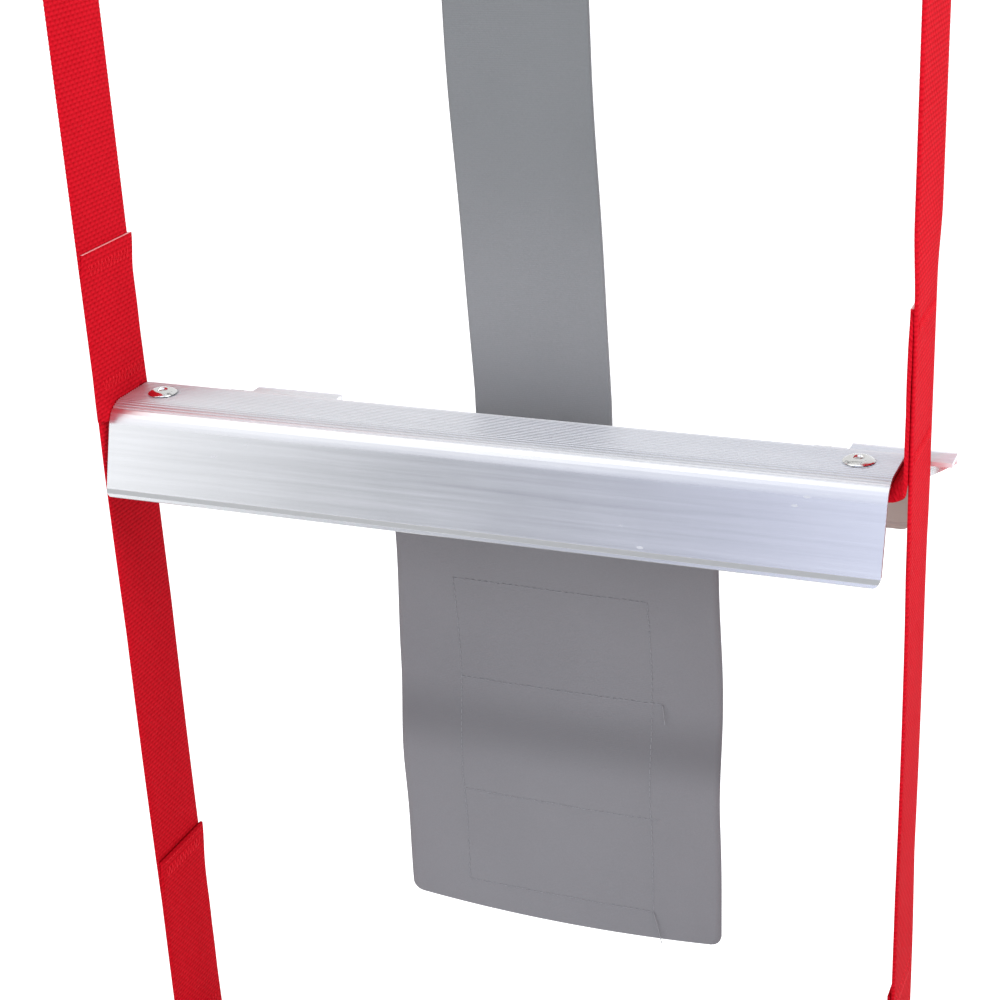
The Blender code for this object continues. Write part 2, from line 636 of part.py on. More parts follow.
# ---------------------------------------------------------------- hook frame
def make_hook(name, mat, parent, sign):
    """One hook, cut from plate: pivot eye, arm, outer leg, top run over the sill and inner leg."""
    run_z = HOOK_UNDERSIDE + HOOK_BAR / 2
    path = [(0, PIVOT_Z), (LEG_Y, PIVOT_Z + HOOK_RISE), (LEG_Y, run_z), (INNER_Y, run_z),
            (INNER_Y, -INNER_DROP)]
    fillets = [0, HOOK_ELBOW, HOOK_FILLET, HOOK_FILLET, 0]
    outline = [(p[0] + LADDER_Y, p[1]) for p in strip_outline(path, fillets, HOOK_BAR)]
    middle = sign * HOOK_X
    hook = add_object(name, prism(outline, "X", middle - HOOK_PLATE / 2, middle + HOOK_PLATE / 2),
                      mat, parent)
    drills = {"pivot": (0, PIVOT_Z, PIVOT_RADIUS),
              "storage": (STORAGE_ROD_Y, STORAGE_ROD_Z, STORAGE_ROD_RADIUS),
              "inner": (INNER_Y, -INNER_BAR_DROP, INNER_BAR_RADIUS)}
    for key, (y, z, radius) in drills.items():
        drill = tool(name + "_drill_" + key, rod(radius + GAP, HOOK_PLATE, 20), parent,
                     (middle, LADDER_Y + y, z))
        combine(hook, "DIFFERENCE", drill)
    return hook


def make_nut(name, mat, parent, sign, place):
    """A domed nut over the end of the pivot rod; hexagonal, with a blind bore."""
    profile = [(0, 0), (NUT_RADIUS, 0), (NUT_RADIUS, 0.65 * NUT_HEIGHT),
               (0.82 * NUT_RADIUS, 0.72 * NUT_HEIGHT),
               (0.62 * NUT_RADIUS, 1.15 * NUT_HEIGHT), (0.3 * NUT_RADIUS, 1.35 * NUT_HEIGHT),
               (0, 1.4 * NUT_HEIGHT)]
    bm = turned([(r, sign * h) for r, h in profile], 6, "X")
    nut = add_object(name, bm, mat, parent, place)
    bore = tool(name + "_bore", rod(PIVOT_RADIUS + GAP, NUT_HEIGHT, 20), parent, place)
    combine(nut, "DIFFERENCE", bore)
    return nut


def make_cap(name, mat, parent, sign):
    """A rubber cap over the round tip of a hook's inner leg, which bears on the inside of the wall."""
    tip = -INNER_DROP
    half_y = HOOK_BAR / 2 + GAP + CAP_WALL
    half_x = HOOK_PLATE / 2 + GAP + CAP_WALL
    middle = sign * HOOK_X
    outline = rounded_rectangle((LADDER_Y + INNER_Y - half_y, tip - half_y),
                                (LADDER_Y + INNER_Y + half_y, tip - half_y + CAP_HEIGHT), CAP_CORNER, 4)
    cap = add_object(name, prism(outline, "X", middle - half_x, middle + half_x), mat, parent)
    path = [(LADDER_Y + INNER_Y, tip + CAP_HEIGHT), (LADDER_Y + INNER_Y, tip)]
    pocket = strip_outline(path, [0, 0], HOOK_BAR + 2 * GAP)
    inside = HOOK_PLATE / 2 + GAP
    combine(cap, "DIFFERENCE",
            tool(name + "_pocket", prism(pocket, "X", middle - inside, middle + inside), parent))
    return cap


# ---------------------------------------------------------------- storage strap
def make_storage_strap(name, mat, pivot, tread_z):
    """A grey strap that hangs from its rod: a narrow tail with a loop at the top, a wide panel below."""
    half_tail, half_panel = TAIL_WIDTH / 2, PANEL_WIDTH / 2
    head = -STORAGE_ROD_RADIUS - GAP
    panel_top, foot = tread_z - PANEL_TOP, tread_z - PANEL_FOOT
    quarter = math.pi / 2
    low = foot + PANEL_CORNER
    outline = [(half_tail, head), (-half_tail, head), (-half_tail, panel_top),
               (-half_panel, panel_top - PANEL_SHOULDER)]
    outline += arc((-half_panel + PANEL_CORNER, low), PANEL_CORNER, 2 * quarter, 3 * quarter, 4)
    outline += arc((half_panel - PANEL_CORNER, low), PANEL_CORNER, 3 * quarter, 4 * quarter, 4)
    outline += [(half_panel, panel_top - PANEL_SHOULDER), (half_tail, panel_top)]
    strap = add_object(name, prism(outline, "Y", -STORAGE_THICK / 2, STORAGE_THICK / 2), mat, pivot)
    outer = STORAGE_ROD_RADIUS + GAP + STORAGE_THICK
    loop = tool(name + "_loop", rod(outer, half_tail, 16), pivot)
    combine(strap, "UNION", loop)
    hole = tool(name + "_hole", rod(STORAGE_ROD_RADIUS + GAP, TAIL_WIDTH, 16), pivot)
    combine(strap, "DIFFERENCE", hole)
    return strap


def make_tape(name, mat, pivot, tread_z, index):
    """One strip of hook tape sewn on the back of the panel."""
    top = tread_z - PANEL_TOP - TAPE_TOP - index * TAPE_PITCH
    low = STORAGE_THICK / 2 + GAP
    outline = rounded_rectangle((-TAPE_WIDTH / 2, top - TAPE_HEIGHT), (TAPE_WIDTH / 2, top), TAPE_CORNER, 2)
    return add_object(name, prism(outline, "Y", low, low + TAPE_THICK), mat, pivot)


# ---------------------------------------------------------------- the ladder
def build_hook_frame(steel, zinc, rubber):
    frame = axis_point("hook_frame_origin", (0, 0, 0))
    for side, sign in SIDES.items():
        make_hook("hook_" + side, steel, frame, sign)
        make_cap("tip_cap_" + side, rubber, frame, sign)
        spacer = ring(SPACER_RADIUS, PIVOT_RADIUS + GAP, SPACER_THICK, "X", 20)
        add_object("pivot_spacer_" + side, spacer, zinc, frame, (sign * SPACER_X, LADDER_Y, PIVOT_Z))
        nut_x = sign * (HANGER_X + HANGER_THICK / 2 + GAP)
        make_nut("pivot_nut_" + side, zinc, frame, sign, (nut_x, LADDER_Y, PIVOT_Z))
    rod_half = HANGER_X + HANGER_THICK / 2 + 0.9 * NUT_HEIGHT
    add_object("pivot_rod", rod(PIVOT_RADIUS, rod_half, 20), zinc, frame, (0, LADDER_Y, PIVOT_Z))
    plate_half = HOOK_X + HOOK_PLATE / 2
    add_object("storage_rod", rod(STORAGE_ROD_RADIUS, plate_half, 20), zinc, frame,
               (0, LADDER_Y + STORAGE_ROD_Y, STORAGE_ROD_Z))
    add_object("inner_bar", rod(INNER_BAR_RADIUS, plate_half, 20), zinc, frame,
               (0, LADDER_Y + INNER_Y, -INNER_BAR_DROP))
    half_y = SILL_BAR_WIDTH / 2
    add_object("sill_bar", box((-plate_half, -half_y, SILL_BAR_Z),
                               (plate_half, half_y, SILL_BAR_Z + SILL_BAR_THICK)), steel, frame)
    pad = rounded_rectangle((-plate_half, -half_y), (plate_half, half_y), PAD_CORNER, 3)
    add_object("sill_pad", prism(pad, "Z", 0, PAD_THICK), rubber, frame)


def build_rung(number, tread, aluminium, zinc, webbing, last):
    """A rung with its tabs, rivets and washers, and the webbing of the bay below it."""
    label = str(number)
    rise = FIRST_TAB_RISE if number == 1 else TAB_RISE
    make_rung("rung_" + label, aluminium, tread)
    for side, sign in SIDES.items():
        make_tab("tab_" + label + "_" + side, webbing, tread, side, rise)
        make_rivet("rivet_" + label + "_" + side, zinc, tread, sign)
        make_washer("washer_" + label + "_" + side, zinc, tread, sign)
        if number in STANDOFF_RUNGS:
            tag = label + "_" + side
            make_clip("clip_" + tag, aluminium, tread, sign)
            make_pin("pin_" + tag, zinc, tread, sign)
            pivot = axis_point("standoff_axis_" + tag, (sign * STANDOFF_X, STANDOFF_Y, 0), tread)
            make_standoff("standoff_" + tag, aluminium, pivot)
        if not last:
            below = TAIL_DROP if number + 1 == RUNG_COUNT else 0
            name = "strap_" + str(number + 1) + "_" + side
            make_strap(name, webbing, tread, side, -GAP / 2, -RUNG_SPACING - below + GAP / 2)


def build_ladder():
    clear_scene()
    steel = finish("painted_steel", (0.045, 0.045, 0.05), 0.45, 0.6)
    zinc = finish("zinc_steel", (0.62, 0.62, 0.6), 0.3, 1.0)
    aluminium = finish("mill_aluminium", (0.72, 0.73, 0.75), 0.32, 1.0)
    webbing = finish("red_webbing", (0.62, 0.012, 0.025), 0.85, 0.0)
    grey = finish("grey_fabric", (0.22, 0.22, 0.23), 0.9, 0.0)
    tape = finish("hook_tape", (0.03, 0.03, 0.032), 0.95, 0.0)
    rubber = finish("rubber", (0.02, 0.02, 0.02), 0.8, 0.0)

    build_hook_frame(steel, zinc, rubber)

    head = axis_point("ladder_head_axis", (0, LADDER_Y, PIVOT_Z))
    for side, sign in SIDES.items():
        make_hanger("hanger_" + side, steel, head, sign)
        make_top_strap("strap_1_" + side, webbing, head, side, -FIRST_DROP + GAP / 2)

    for number in range(1, RUNG_COUNT + 1):
        tread_z = PIVOT_Z - FIRST_DROP - (number - 1) * RUNG_SPACING
        tread = axis_point("tread_" + str(number), (-RUNG_SHIFT, LADDER_Y, tread_z))
        build_rung(number, tread, aluminium, zinc, webbing, number == RUNG_COUNT)

    storage_place = (STORAGE_X - RUNG_SHIFT, LADDER_Y + STORAGE_ROD_Y, STORAGE_ROD_Z)
    storage = axis_point("storage_axis", storage_place)
    first_tread = PIVOT_Z - FIRST_DROP - STORAGE_ROD_Z
    make_storage_strap("storage_strap", grey, storage, first_tread)
    for index, place in enumerate(("upper", "middle", "lower")):
        make_tape("hook_tape_" + place, tape, storage, first_tread, index)


TOOL_FINISH = bpy.data.materials.new("cutting_tools")
build_ladder()
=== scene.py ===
# %% [markdown]
# # A window escape ladder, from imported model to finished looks
# The ladder hangs from two steel hooks over a sill. Its sides are red polyester webbing, its rungs
# are open aluminium channels, and a wide grey strap hangs behind them to wrap the folded ladder.
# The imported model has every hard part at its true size, so the metal parts keep their meshes here and
# only get better finishes. The webbing, the fabric and the rivets are plain solids in that model, so
# finer pieces take their places below.

import json
import math
import random

import bmesh
import bpy
from mathutils import Matrix, Vector


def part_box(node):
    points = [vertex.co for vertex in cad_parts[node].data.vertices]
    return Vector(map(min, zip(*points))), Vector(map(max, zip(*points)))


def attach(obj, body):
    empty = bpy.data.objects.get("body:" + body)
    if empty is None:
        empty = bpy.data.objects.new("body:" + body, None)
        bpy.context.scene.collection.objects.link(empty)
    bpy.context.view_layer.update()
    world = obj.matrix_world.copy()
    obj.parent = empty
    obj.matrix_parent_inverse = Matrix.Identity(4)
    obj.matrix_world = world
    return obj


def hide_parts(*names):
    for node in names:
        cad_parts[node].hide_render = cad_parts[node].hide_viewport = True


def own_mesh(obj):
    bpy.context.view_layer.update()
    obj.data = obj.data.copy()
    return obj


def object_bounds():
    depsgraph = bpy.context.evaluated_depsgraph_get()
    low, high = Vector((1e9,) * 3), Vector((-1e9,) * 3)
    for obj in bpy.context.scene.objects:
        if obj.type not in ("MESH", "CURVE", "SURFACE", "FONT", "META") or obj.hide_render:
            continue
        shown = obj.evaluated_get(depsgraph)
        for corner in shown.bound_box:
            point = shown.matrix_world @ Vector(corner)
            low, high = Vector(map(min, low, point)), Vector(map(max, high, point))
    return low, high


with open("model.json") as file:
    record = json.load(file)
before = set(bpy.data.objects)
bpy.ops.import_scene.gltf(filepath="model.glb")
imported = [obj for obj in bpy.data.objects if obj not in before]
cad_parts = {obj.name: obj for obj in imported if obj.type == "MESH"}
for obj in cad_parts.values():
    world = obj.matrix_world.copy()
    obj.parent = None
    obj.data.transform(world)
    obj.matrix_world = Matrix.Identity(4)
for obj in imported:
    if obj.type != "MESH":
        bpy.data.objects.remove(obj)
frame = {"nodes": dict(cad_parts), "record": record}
cad_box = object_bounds()
scene = bpy.context.scene

# %% [markdown]
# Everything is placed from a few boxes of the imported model: the middle of the rungs, the height of
# each tread, and where each side strap and storage strap hangs.

# %% Places read from the frame
SIDES = {"left": -1, "right": 1}
MM = 0.001
rung_low, rung_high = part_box("rung_1")
ladder_y = (rung_low.y + rung_high.y) / 2
rung_x = (rung_low.x + rung_high.x) / 2
treads = {k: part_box(f"rung_{k}")[1].z for k in (1, 2, 3)}
spacing = treads[1] - treads[2]
print("treads at", [round(z, 3) for z in treads.values()], "rungs' middle at", round(rung_x, 4))

# %% [markdown]
# ## Camera
# The camera looks down on the first rung from its front right. A long lens keeps the two side straps
# nearly parallel. The three angles turn the camera about the upright axis, tip it down and lean it.

# %% Camera
LENS_MM = 72.06
CAMERA_OFFSET = Vector((0.3152, -0.7311, 0.2972))    # from the middle of the first tread
TURN, TIP, LEAN = math.radians(23.05), math.radians(22.63), math.radians(-2.89)

look = Vector((-math.sin(TURN) * math.cos(TIP), math.cos(TURN) * math.cos(TIP), -math.sin(TIP)))
level = Vector((math.cos(TURN), math.sin(TURN), 0))
upright = level.cross(look)
right = level * math.cos(LEAN) + upright * math.sin(LEAN)
up = upright * math.cos(LEAN) - level * math.sin(LEAN)

camera_data = bpy.data.cameras.new("camera")
camera_data.lens = LENS_MM
camera_data.sensor_width = 36
camera_data.clip_start, camera_data.clip_end = 0.05, 100
camera = bpy.data.objects.new("camera", camera_data)
scene.collection.objects.link(camera)
turned = Matrix((right, up, -look)).transposed().to_4x4()
camera.matrix_world = Matrix.Translation(Vector((rung_x, ladder_y, treads[1])) + CAMERA_OFFSET) @ turned
scene.camera = camera
print("camera at", [round(v, 3) for v in camera.matrix_world.translation])

# %% [markdown]
# ## Writing materials as sums
# A procedural material is a graph of nodes, and most of its nodes are plain arithmetic. `Value` wraps
# one output so that Python's own operators add the Math nodes, and `1 - mask` works as it reads.
# `Finish` starts a material, and its `node` method adds any other node: first the settings, which
# decide what sockets the node has, then the values or links of those sockets.

# %% A socket that can be used in sums
class Value:
    """One number output of a node tree; +, -, *, / and ** add Math nodes."""

    def __init__(self, finish, socket):
        self.finish, self.socket = finish, socket

    def maths(self, operation, first, second=0.0):
        return self.finish.node("ShaderNodeMath", {"operation": operation}, {0: first, 1: second})

    def __add__(self, other):
        return self.maths("ADD", self, other)

    def __sub__(self, other):
        return self.maths("SUBTRACT", self, other)

    def __rsub__(self, other):
        return self.maths("SUBTRACT", other, self)

    def __mul__(self, other):
        return self.maths("MULTIPLY", self, other)

    def __truediv__(self, other):
        return self.maths("DIVIDE", self, other)

    def __pow__(self, other):
        return self.maths("POWER", self, other)

    __radd__, __rmul__ = __add__, __mul__

    def wave(self):
        """Its sine."""
        return self.maths("SINE", self)

    def size(self):
        """Its distance from zero."""
        return self.maths("ABSOLUTE", self)

    def whole(self):
        """The whole number below it."""
        return self.maths("FLOOR", self)

    def arcsine(self):
        return self.maths("ARCSINE", self)

    def wrapped(self, length):
        """What is left of it past a whole number of lengths."""
        return self.maths("FLOORED_MODULO", self, length)

    def most(self, other):
        return self.maths("MAXIMUM", self, other)

    def least(self, other):
        return self.maths("MINIMUM", self, other)

    def smooth_step(self, low, high):
        """0 below low, 1 above high, and a soft ramp between."""
        settings = {"interpolation_type": "SMOOTHSTEP"}
        return self.finish.node("ShaderNodeMapRange", settings, {0: self, 1: low, 2: high, 3: 0.0, 4: 1.0})


# %% A material under construction
class Finish:
    """A material with one Principled shader; node() adds nodes to its tree."""

    def __init__(self, name, tree=None):
        if tree is None:
            self.material = bpy.data.materials.new(name)
            self.material.use_nodes = True
            tree = self.material.node_tree
        self.tree = tree
        self.shader = tree.nodes.get("Principled BSDF")

    def node(self, kind, settings=None, sockets=None, output=0):
        made = self.tree.nodes.new(kind)
        for key, value in (settings or {}).items():
            if key == "stops":
                elements = made.color_ramp.elements
                elements[0].position, elements[-1].position = value[0][0], value[-1][0]
                for position, _ in value[1:-1]:
                    elements.new(position)
                for element, (_, colour) in zip(elements, value):
                    element.color = (*colour, 1)
            else:
                setattr(made, key, value)
        for key, value in (sockets or {}).items():
            self.join(made.inputs[key], value)
        return Value(self, made.outputs[output])

    def join(self, socket, value):
        """Links a value to a socket, or sets the socket when it is a plain number, colour or vector."""
        if isinstance(value, Value):
            self.tree.links.new(value.socket, socket)
        else:
            socket.default_value = value

    def set(self, **sockets):
        """Constants and links of the shader, by socket name with _ for a space."""
        for key, value in sockets.items():
            self.join(self.shader.inputs[key.replace("_", " ")], value)

    def place(self):
        """The X, Y and Z of a point of the surface, in metres, in the ladder's own frame."""
        point = self.node("ShaderNodeTexCoord", output="Object")
        return [self.node("ShaderNodeSeparateXYZ", None, {0: point}, axis) for axis in range(3)]

    def point(self, x, y, z):
        return self.node("ShaderNodeCombineXYZ", None, {0: x, 1: y, 2: z})

    def noise(self, where, scale, detail=2.0, roughness=0.5):
        return self.node("ShaderNodeTexNoise", None,
                         {"Vector": where, "Scale": scale, "Detail": detail, "Roughness": roughness})

    def blend(self, share, first, second):
        """A colour between two colours."""
        settings = {"data_type": "RGBA", "clamp_factor": True}
        return self.node("ShaderNodeMix", settings, {0: share, 6: first, 7: second}, output=2)

    def bump(self, height, distance, strength):
        sockets = {"Height": height, "Distance": distance, "Strength": strength}
        return self.node("ShaderNodeBump", None, sockets)


def rgba(red, green, blue):
    return (red, green, blue, 1.0)


print("tools for materials ready")

# %% [markdown]
# ## Webbing
# The side straps are woven polyester: rows of small humps, two millimetres long, set like bricks. A
# weave this fine is best made with a bump pattern that runs in real millimetres, so that pieces that
# meet show one unbroken cloth. The humps are painted a little lighter than the valleys between them, a
# painted highlight, and the cloth is painted slowly deeper in colour down the bay below the first tread, a
# painted shade.

# %% Webbing finish
WEAVE_ROW = 2.0 * MM
WEAVE_COLUMN = 3.4 * MM
WEAVE_RELIEF = 0.35 * MM
SHADE_BELOW = 0.17                # the share of bright thread lost at the foot of the shaded stretch
SHADE_START, SHADE_END = -0.02, 0.24    # metres below the first tread
RED_BRIGHT, RED_BRIGHT_TAB, RED_DEEP = (0.70, 0.010, 0.024), (0.72, 0.010, 0.024), (0.34, 0.001, 0.005)


def webbing_finish(name, bright, turns_under=False):
    """Red woven cloth. Rows run along Z, and on along X where the webbing turns in under a tread."""
    made = Finish(name)
    x, y, z = made.place()
    along = z + x.size() if turns_under else z
    row = along * (2 * math.pi / WEAVE_ROW)
    step = (along / WEAVE_ROW).whole()
    column = (y / WEAVE_COLUMN + step * 0.5) * (2 * math.pi)
    wobble = made.noise(made.point(x, y, z), 260.0, 3.0)
    hump = (row.wave() * 0.5 + 0.5) ** 0.6
    cell = (column.wave() * 0.5 + 0.5) ** 0.5
    cloth = hump * 0.55 + cell * 0.45
    tone = made.noise(made.point(x * 30, y * 30, z * 6), 1.0, 3.0)
    fibres = made.noise(made.point(x * 900, y * 1500, z * 300), 1.0, 2.0)
    # Painted shade: the cloth gets darker from the first tread down the bay.
    lower = (treads[1] - z).smooth_step(SHADE_START, SHADE_END) * SHADE_BELOW
    # The humps of the weave are painted lighter than its valleys, a painted highlight.
    share = cloth * 0.62 + tone * 0.35 + wobble * 0.25 - 0.28 - lower
    made.set(Base_Color=made.blend(share, rgba(*RED_DEEP), rgba(*bright)))
    made.set(Roughness=0.8, Specular_IOR_Level=0.03)
    height = cloth + fibres * 0.25 + wobble * 0.3
    made.set(Normal=made.bump(height, WEAVE_RELIEF, 0.75))
    return made.material


red_webbing = webbing_finish("red_webbing_weave", RED_BRIGHT)
print("webbing rows every", WEAVE_ROW / MM, "mm")

# %% [markdown]
# The ends of the webbing are cut with a hot knife, which melts the threads into a pale, glossy bead.
# The sewing threads are twisted, which fine slanted bands of light and dark show. The red one is only a
# little brighter than the cloth, so a seam shows by its relief more than by its colour.

# %% Melted edge and sewing thread
THREAD_TWIST = 0.7 * MM


def melted_finish():
    made = Finish("melted_webbing_edge")
    x, y, z = made.place()
    grain = made.noise(made.point(x, y, z), 900.0, 3.0)
    made.set(Base_Color=made.blend(grain, rgba(0.78, 0.20, 0.20), rgba(0.95, 0.62, 0.60)), Roughness=0.35)
    made.set(Normal=made.bump(grain, 0.2 * MM, 0.6))
    return made.material


def thread_finish(name, bright, deep, roughness):
    """Twisted thread: fine slanted bands."""
    made = Finish(name)
    x, y, z = made.place()
    bands = ((x + y + z) * (2 * math.pi / THREAD_TWIST)).wave() * 0.5 + 0.5
    fuzz = made.noise(made.point(x, y, z), 1400.0, 2.0)
    made.set(Base_Color=made.blend(bands * 0.7 + fuzz * 0.3, deep, bright), Roughness=roughness)
    made.set(Normal=made.bump(bands, 0.12 * MM, 0.5), Specular_IOR_Level=0.06)
    return made.material


melted_edge = melted_finish()
red_thread = thread_finish("red_sewing_thread", rgba(0.86, 0.018, 0.034), rgba(0.42, 0.002, 0.008), 0.6)
grey_thread = thread_finish("grey_sewing_thread", rgba(0.31, 0.31, 0.32), rgba(0.17, 0.17, 0.18), 0.7)
print("made", melted_edge.name, red_thread.name, grey_thread.name)

# %% [markdown]
# ## Grey fabric
# The storage strap is a brushed loop fabric, soft and nearly shadowless, with a faint grain and wide
# cloudy changes of shade. The panel is a little warmer than the tail, and the tail is painted lighter just
# above the rung, a painted light against the rung's shadow. A darker band crosses the panel, a painted
# shade of a shallow fold. Sheen lifts the edges.

# %% Fabric finish
FABRIC_ROW = 0.9 * MM
FOLD_DROP, FOLD_REACH = 168 * MM, 22 * MM    # the dark band: its middle below the tread, half its height
TAIL_HIGH = rgba(0.141, 0.149, 0.151), rgba(0.205, 0.213, 0.218)
TAIL_LOW = rgba(0.195, 0.199, 0.204), rgba(0.283, 0.288, 0.294)
PANEL_SHADES = rgba(0.150, 0.148, 0.155), rgba(0.211, 0.209, 0.219)
FOLD_SHADE = rgba(0.145, 0.143, 0.150)


def fabric_finish():
    made = Finish("grey_brushed_fabric")
    x, y, z = made.place()
    where = made.point(x, y, z)
    nap = made.noise(where, 1300.0, 4.0, 0.7)
    cloud = made.noise(where, 14.0, 3.0)
    rows = ((z * (2 * math.pi / FABRIC_ROW)).wave() * 0.5 + 0.5) * 0.3
    mottle = nap * 0.6 + cloud * 0.5 - 0.05
    # Painted light: the tail is lighter near the rung, against the rung's shadow, and darker higher up.
    height = (z - treads[1]).smooth_step(0.01, 0.13)
    tail = made.blend(height, made.blend(mottle, *TAIL_LOW), made.blend(mottle, *TAIL_HIGH))
    # Painted shade: a darker band across the panel along a shallow fold.
    off_fold = (treads[1] - z - FOLD_DROP).size().smooth_step(0.0, FOLD_REACH)
    panel = made.blend(off_fold, FOLD_SHADE, made.blend(mottle, *PANEL_SHADES))
    on_panel = (treads[1] - z).smooth_step(0.02, 0.06)
    made.set(Base_Color=made.blend(on_panel, tail, panel), Roughness=0.92, Specular_IOR_Level=0.15)
    made.set(Sheen_Weight=0.15, Sheen_Roughness=0.6)
    made.set(Normal=made.bump(nap + rows, 0.12 * MM, 0.5))
    return made.material


grey_fabric = fabric_finish()
print("made", grey_fabric.name, "with", len(grey_fabric.node_tree.nodes), "nodes")

# %% [markdown]
# ## Bare aluminium
# An extruded channel carries fine die lines along its length, because the metal was pushed through a
# steel plate. They spread a reflection upwards and downwards, but hardly along the rung. Noise that is
# stretched along X gives both the lines in the bump and a faint streaky change of roughness. The ribbed
# tread and the stand-offs behind the rung are duller than the smooth flanges, and the grooves between the
# ribs are painted grey, a painted shade. Two thin lines along the foot, at the bead's slope and at its
# lower edge, are painted dark and not metallic, a painted shade, and the inside of the channel is dull and
# painted a darker brown, a painted shade.
#
# Every mark is a mask made from two measures: how far a point is below its own tread, which repeats from
# rung to rung, and how far it is across from the rung's middle. Both come from the shape of the channel,
# so its sizes are written down first.

# %% Sizes of the channel
TREAD_HALF = 19 * MM
FLARE = math.radians(16.6)
RUNG_CORNER = 11.5 * MM
FLAT_HALF = TREAD_HALF - RUNG_CORNER * math.tan((math.pi / 2 - FLARE) / 2)
RIB_PITCH = 1.7 * MM
print("flat of the tread:", round(2 * FLAT_HALF / MM, 1), "mm wide")

# %% Where the marks begin and end
# Pairs of heights below the tread, or of distances, between which a mask goes from 0 to 1.
RIBS_END = 2.2 * MM, 3.2 * MM
BEAD_SLOPE_STARTS, BEAD_SLOPE_ENDS = (36.2 * MM, 36.6 * MM), (38.0 * MM, 38.4 * MM)
FOOT_EDGE = 39.3 * MM, 39.7 * MM
CORNER_STARTS, CORNER_ENDS = (2 * MM, 4 * MM), (7 * MM, 9 * MM)
BEHIND_RUNG = 32.5 * MM, 33.5 * MM
INSIDE_WALL, INSIDE_STARTS = (1.0 * MM, 1.4 * MM), (8.3 * MM, 8.7 * MM)
UNDER_TREAD = 1.5 * MM, 1.9 * MM
ABOVE_TREAD = 1 * MM              # how far above its tread a rung's own stretch of height begins
# The first grey is both the specks on the metal and the painted shade in the grooves between the ribs.
SPOT_GREY = RIB_GROOVE_SHADE = rgba(0.30, 0.30, 0.31)
# A painted shade for two thin lines along the bead's slope and the foot's lower edge.
BEAD_SHADE_GREY = rgba(0.23, 0.235, 0.23)
# A painted shade, brownish, for the inside of the channel.
INSIDE_SHADE_BROWN = rgba(0.33, 0.27, 0.245)

# %% Aluminium finish


def aluminium_finish():
    made = Finish("extruded_aluminium")
    x, y, z = made.place()
    lines = made.noise(made.point(x * 3, y * 2600, z * 2600), 1.0, 3.0, 0.6)
    streaks = made.noise(made.point(x * 7, y * 420, z * 420), 1.0, 4.0, 0.6)
    clouds = made.noise(made.point(x, y, z), 22.0, 3.0)
    specks = made.node("ShaderNodeTexVoronoi", {"feature": "F1"},
                       {"Vector": made.point(x * 0.4, y, z), "Scale": 95.0, "Randomness": 1.0})
    spot = 1 - specks.smooth_step(0.035, 0.065)
    tone = made.blend(streaks * 0.8 + clouds * 0.2, rgba(0.70, 0.71, 0.73), rgba(0.86, 0.87, 0.89))
    drop = (treads[1] + ABOVE_TREAD - z).wrapped(spacing) - ABOVE_TREAD
    across = (y - ladder_y).size()
    ribs = 1 - drop.smooth_step(*RIBS_END)
    behind = (y - ladder_y).smooth_step(*BEHIND_RUNG)
    outer_face = drop * math.tan(FLARE) + TREAD_HALF
    inside = (outer_face - across).smooth_step(*INSIDE_WALL) * drop.smooth_step(*INSIDE_STARTS)
    underside = (FLAT_HALF - across).smooth_step(0.0, 1 * MM) * drop.smooth_step(*UNDER_TREAD)
    inside = inside.most(underside)
    turned = ((across - FLAT_HALF).most(0.0) / RUNG_CORNER).least(1.0)
    run = across.least(FLAT_HALF) + turned.arcsine() * RUNG_CORNER
    groove = (0.5 - (run * (2 * math.pi / RIB_PITCH) + math.pi / 2).wave() * 0.5) ** 3
    # Painted shade: two thin dark, not metallic lines along the bead's slope and the foot's lower edge.
    bead_line = drop.smooth_step(*BEAD_SLOPE_STARTS) - drop.smooth_step(*BEAD_SLOPE_ENDS)
    painted_shade_lines = bead_line.most(drop.smooth_step(*FOOT_EDGE)) * 0.85
    skin = made.blend(painted_shade_lines, tone, BEAD_SHADE_GREY)
    # Painted shade in the grooves between the ribs.
    skin = made.blend(groove * ribs * 0.6, skin, RIB_GROOVE_SHADE)
    # Painted shade inside the channel.
    skin = made.blend(inside, skin, INSIDE_SHADE_BROWN)
    made.set(Base_Color=made.blend(spot * 0.25, skin, SPOT_GREY))
    made.set(Metallic=1 - painted_shade_lines.most(behind * 0.5))
    corner = drop.smooth_step(*CORNER_STARTS) - drop.smooth_step(*CORNER_ENDS)
    dull = (ribs * 0.22).most(behind * 0.36).most(inside * 0.35).most(corner * 0.12)
    made.set(Roughness=streaks * 0.10 + clouds * 0.04 + 0.16 + spot * 0.2 + dull)
    made.set(Normal=made.bump(lines * 0.6 + streaks * 0.6, 0.05 * MM, 0.35))
    return made.material


aluminium = aluminium_finish()
print("made", aluminium.name, "with", len(aluminium.node_tree.nodes), "nodes")

# %% [markdown]
# ## Steel, zinc, rubber and hook tape
# The hooks are powder coated: a black paint with a fine orange-peel skin and a few tiny chips.
# The rods, rivets, washers and nuts are bright zinc. The pads and caps are moulded rubber. The hook tape
# on the storage strap is a black weave with a fine check of hooks.

# %% Paint, zinc, rubber and hook tape
HOOK_COLUMN, HOOK_ROW = 1.2 * MM, 1.1 * MM


def powder_finish():
    made = Finish("black_powder_coat")
    x, y, z = made.place()
    where = made.point(x, y, z)
    peel = made.noise(where, 700.0, 2.0)
    dust = made.noise(where, 30.0, 4.0)
    chip = made.noise(where, 260.0, 3.0).smooth_step(0.72, 0.75)
    paint = made.blend(dust, rgba(0.020, 0.020, 0.022), rgba(0.038, 0.038, 0.041))
    made.set(Base_Color=made.blend(chip, paint, rgba(0.42, 0.42, 0.43)))
    made.set(Roughness=dust * 0.15 + 0.34, Metallic=chip, Specular_IOR_Level=0.5)
    made.set(Normal=made.bump(peel, 0.08 * MM, 0.35))
    return made.material


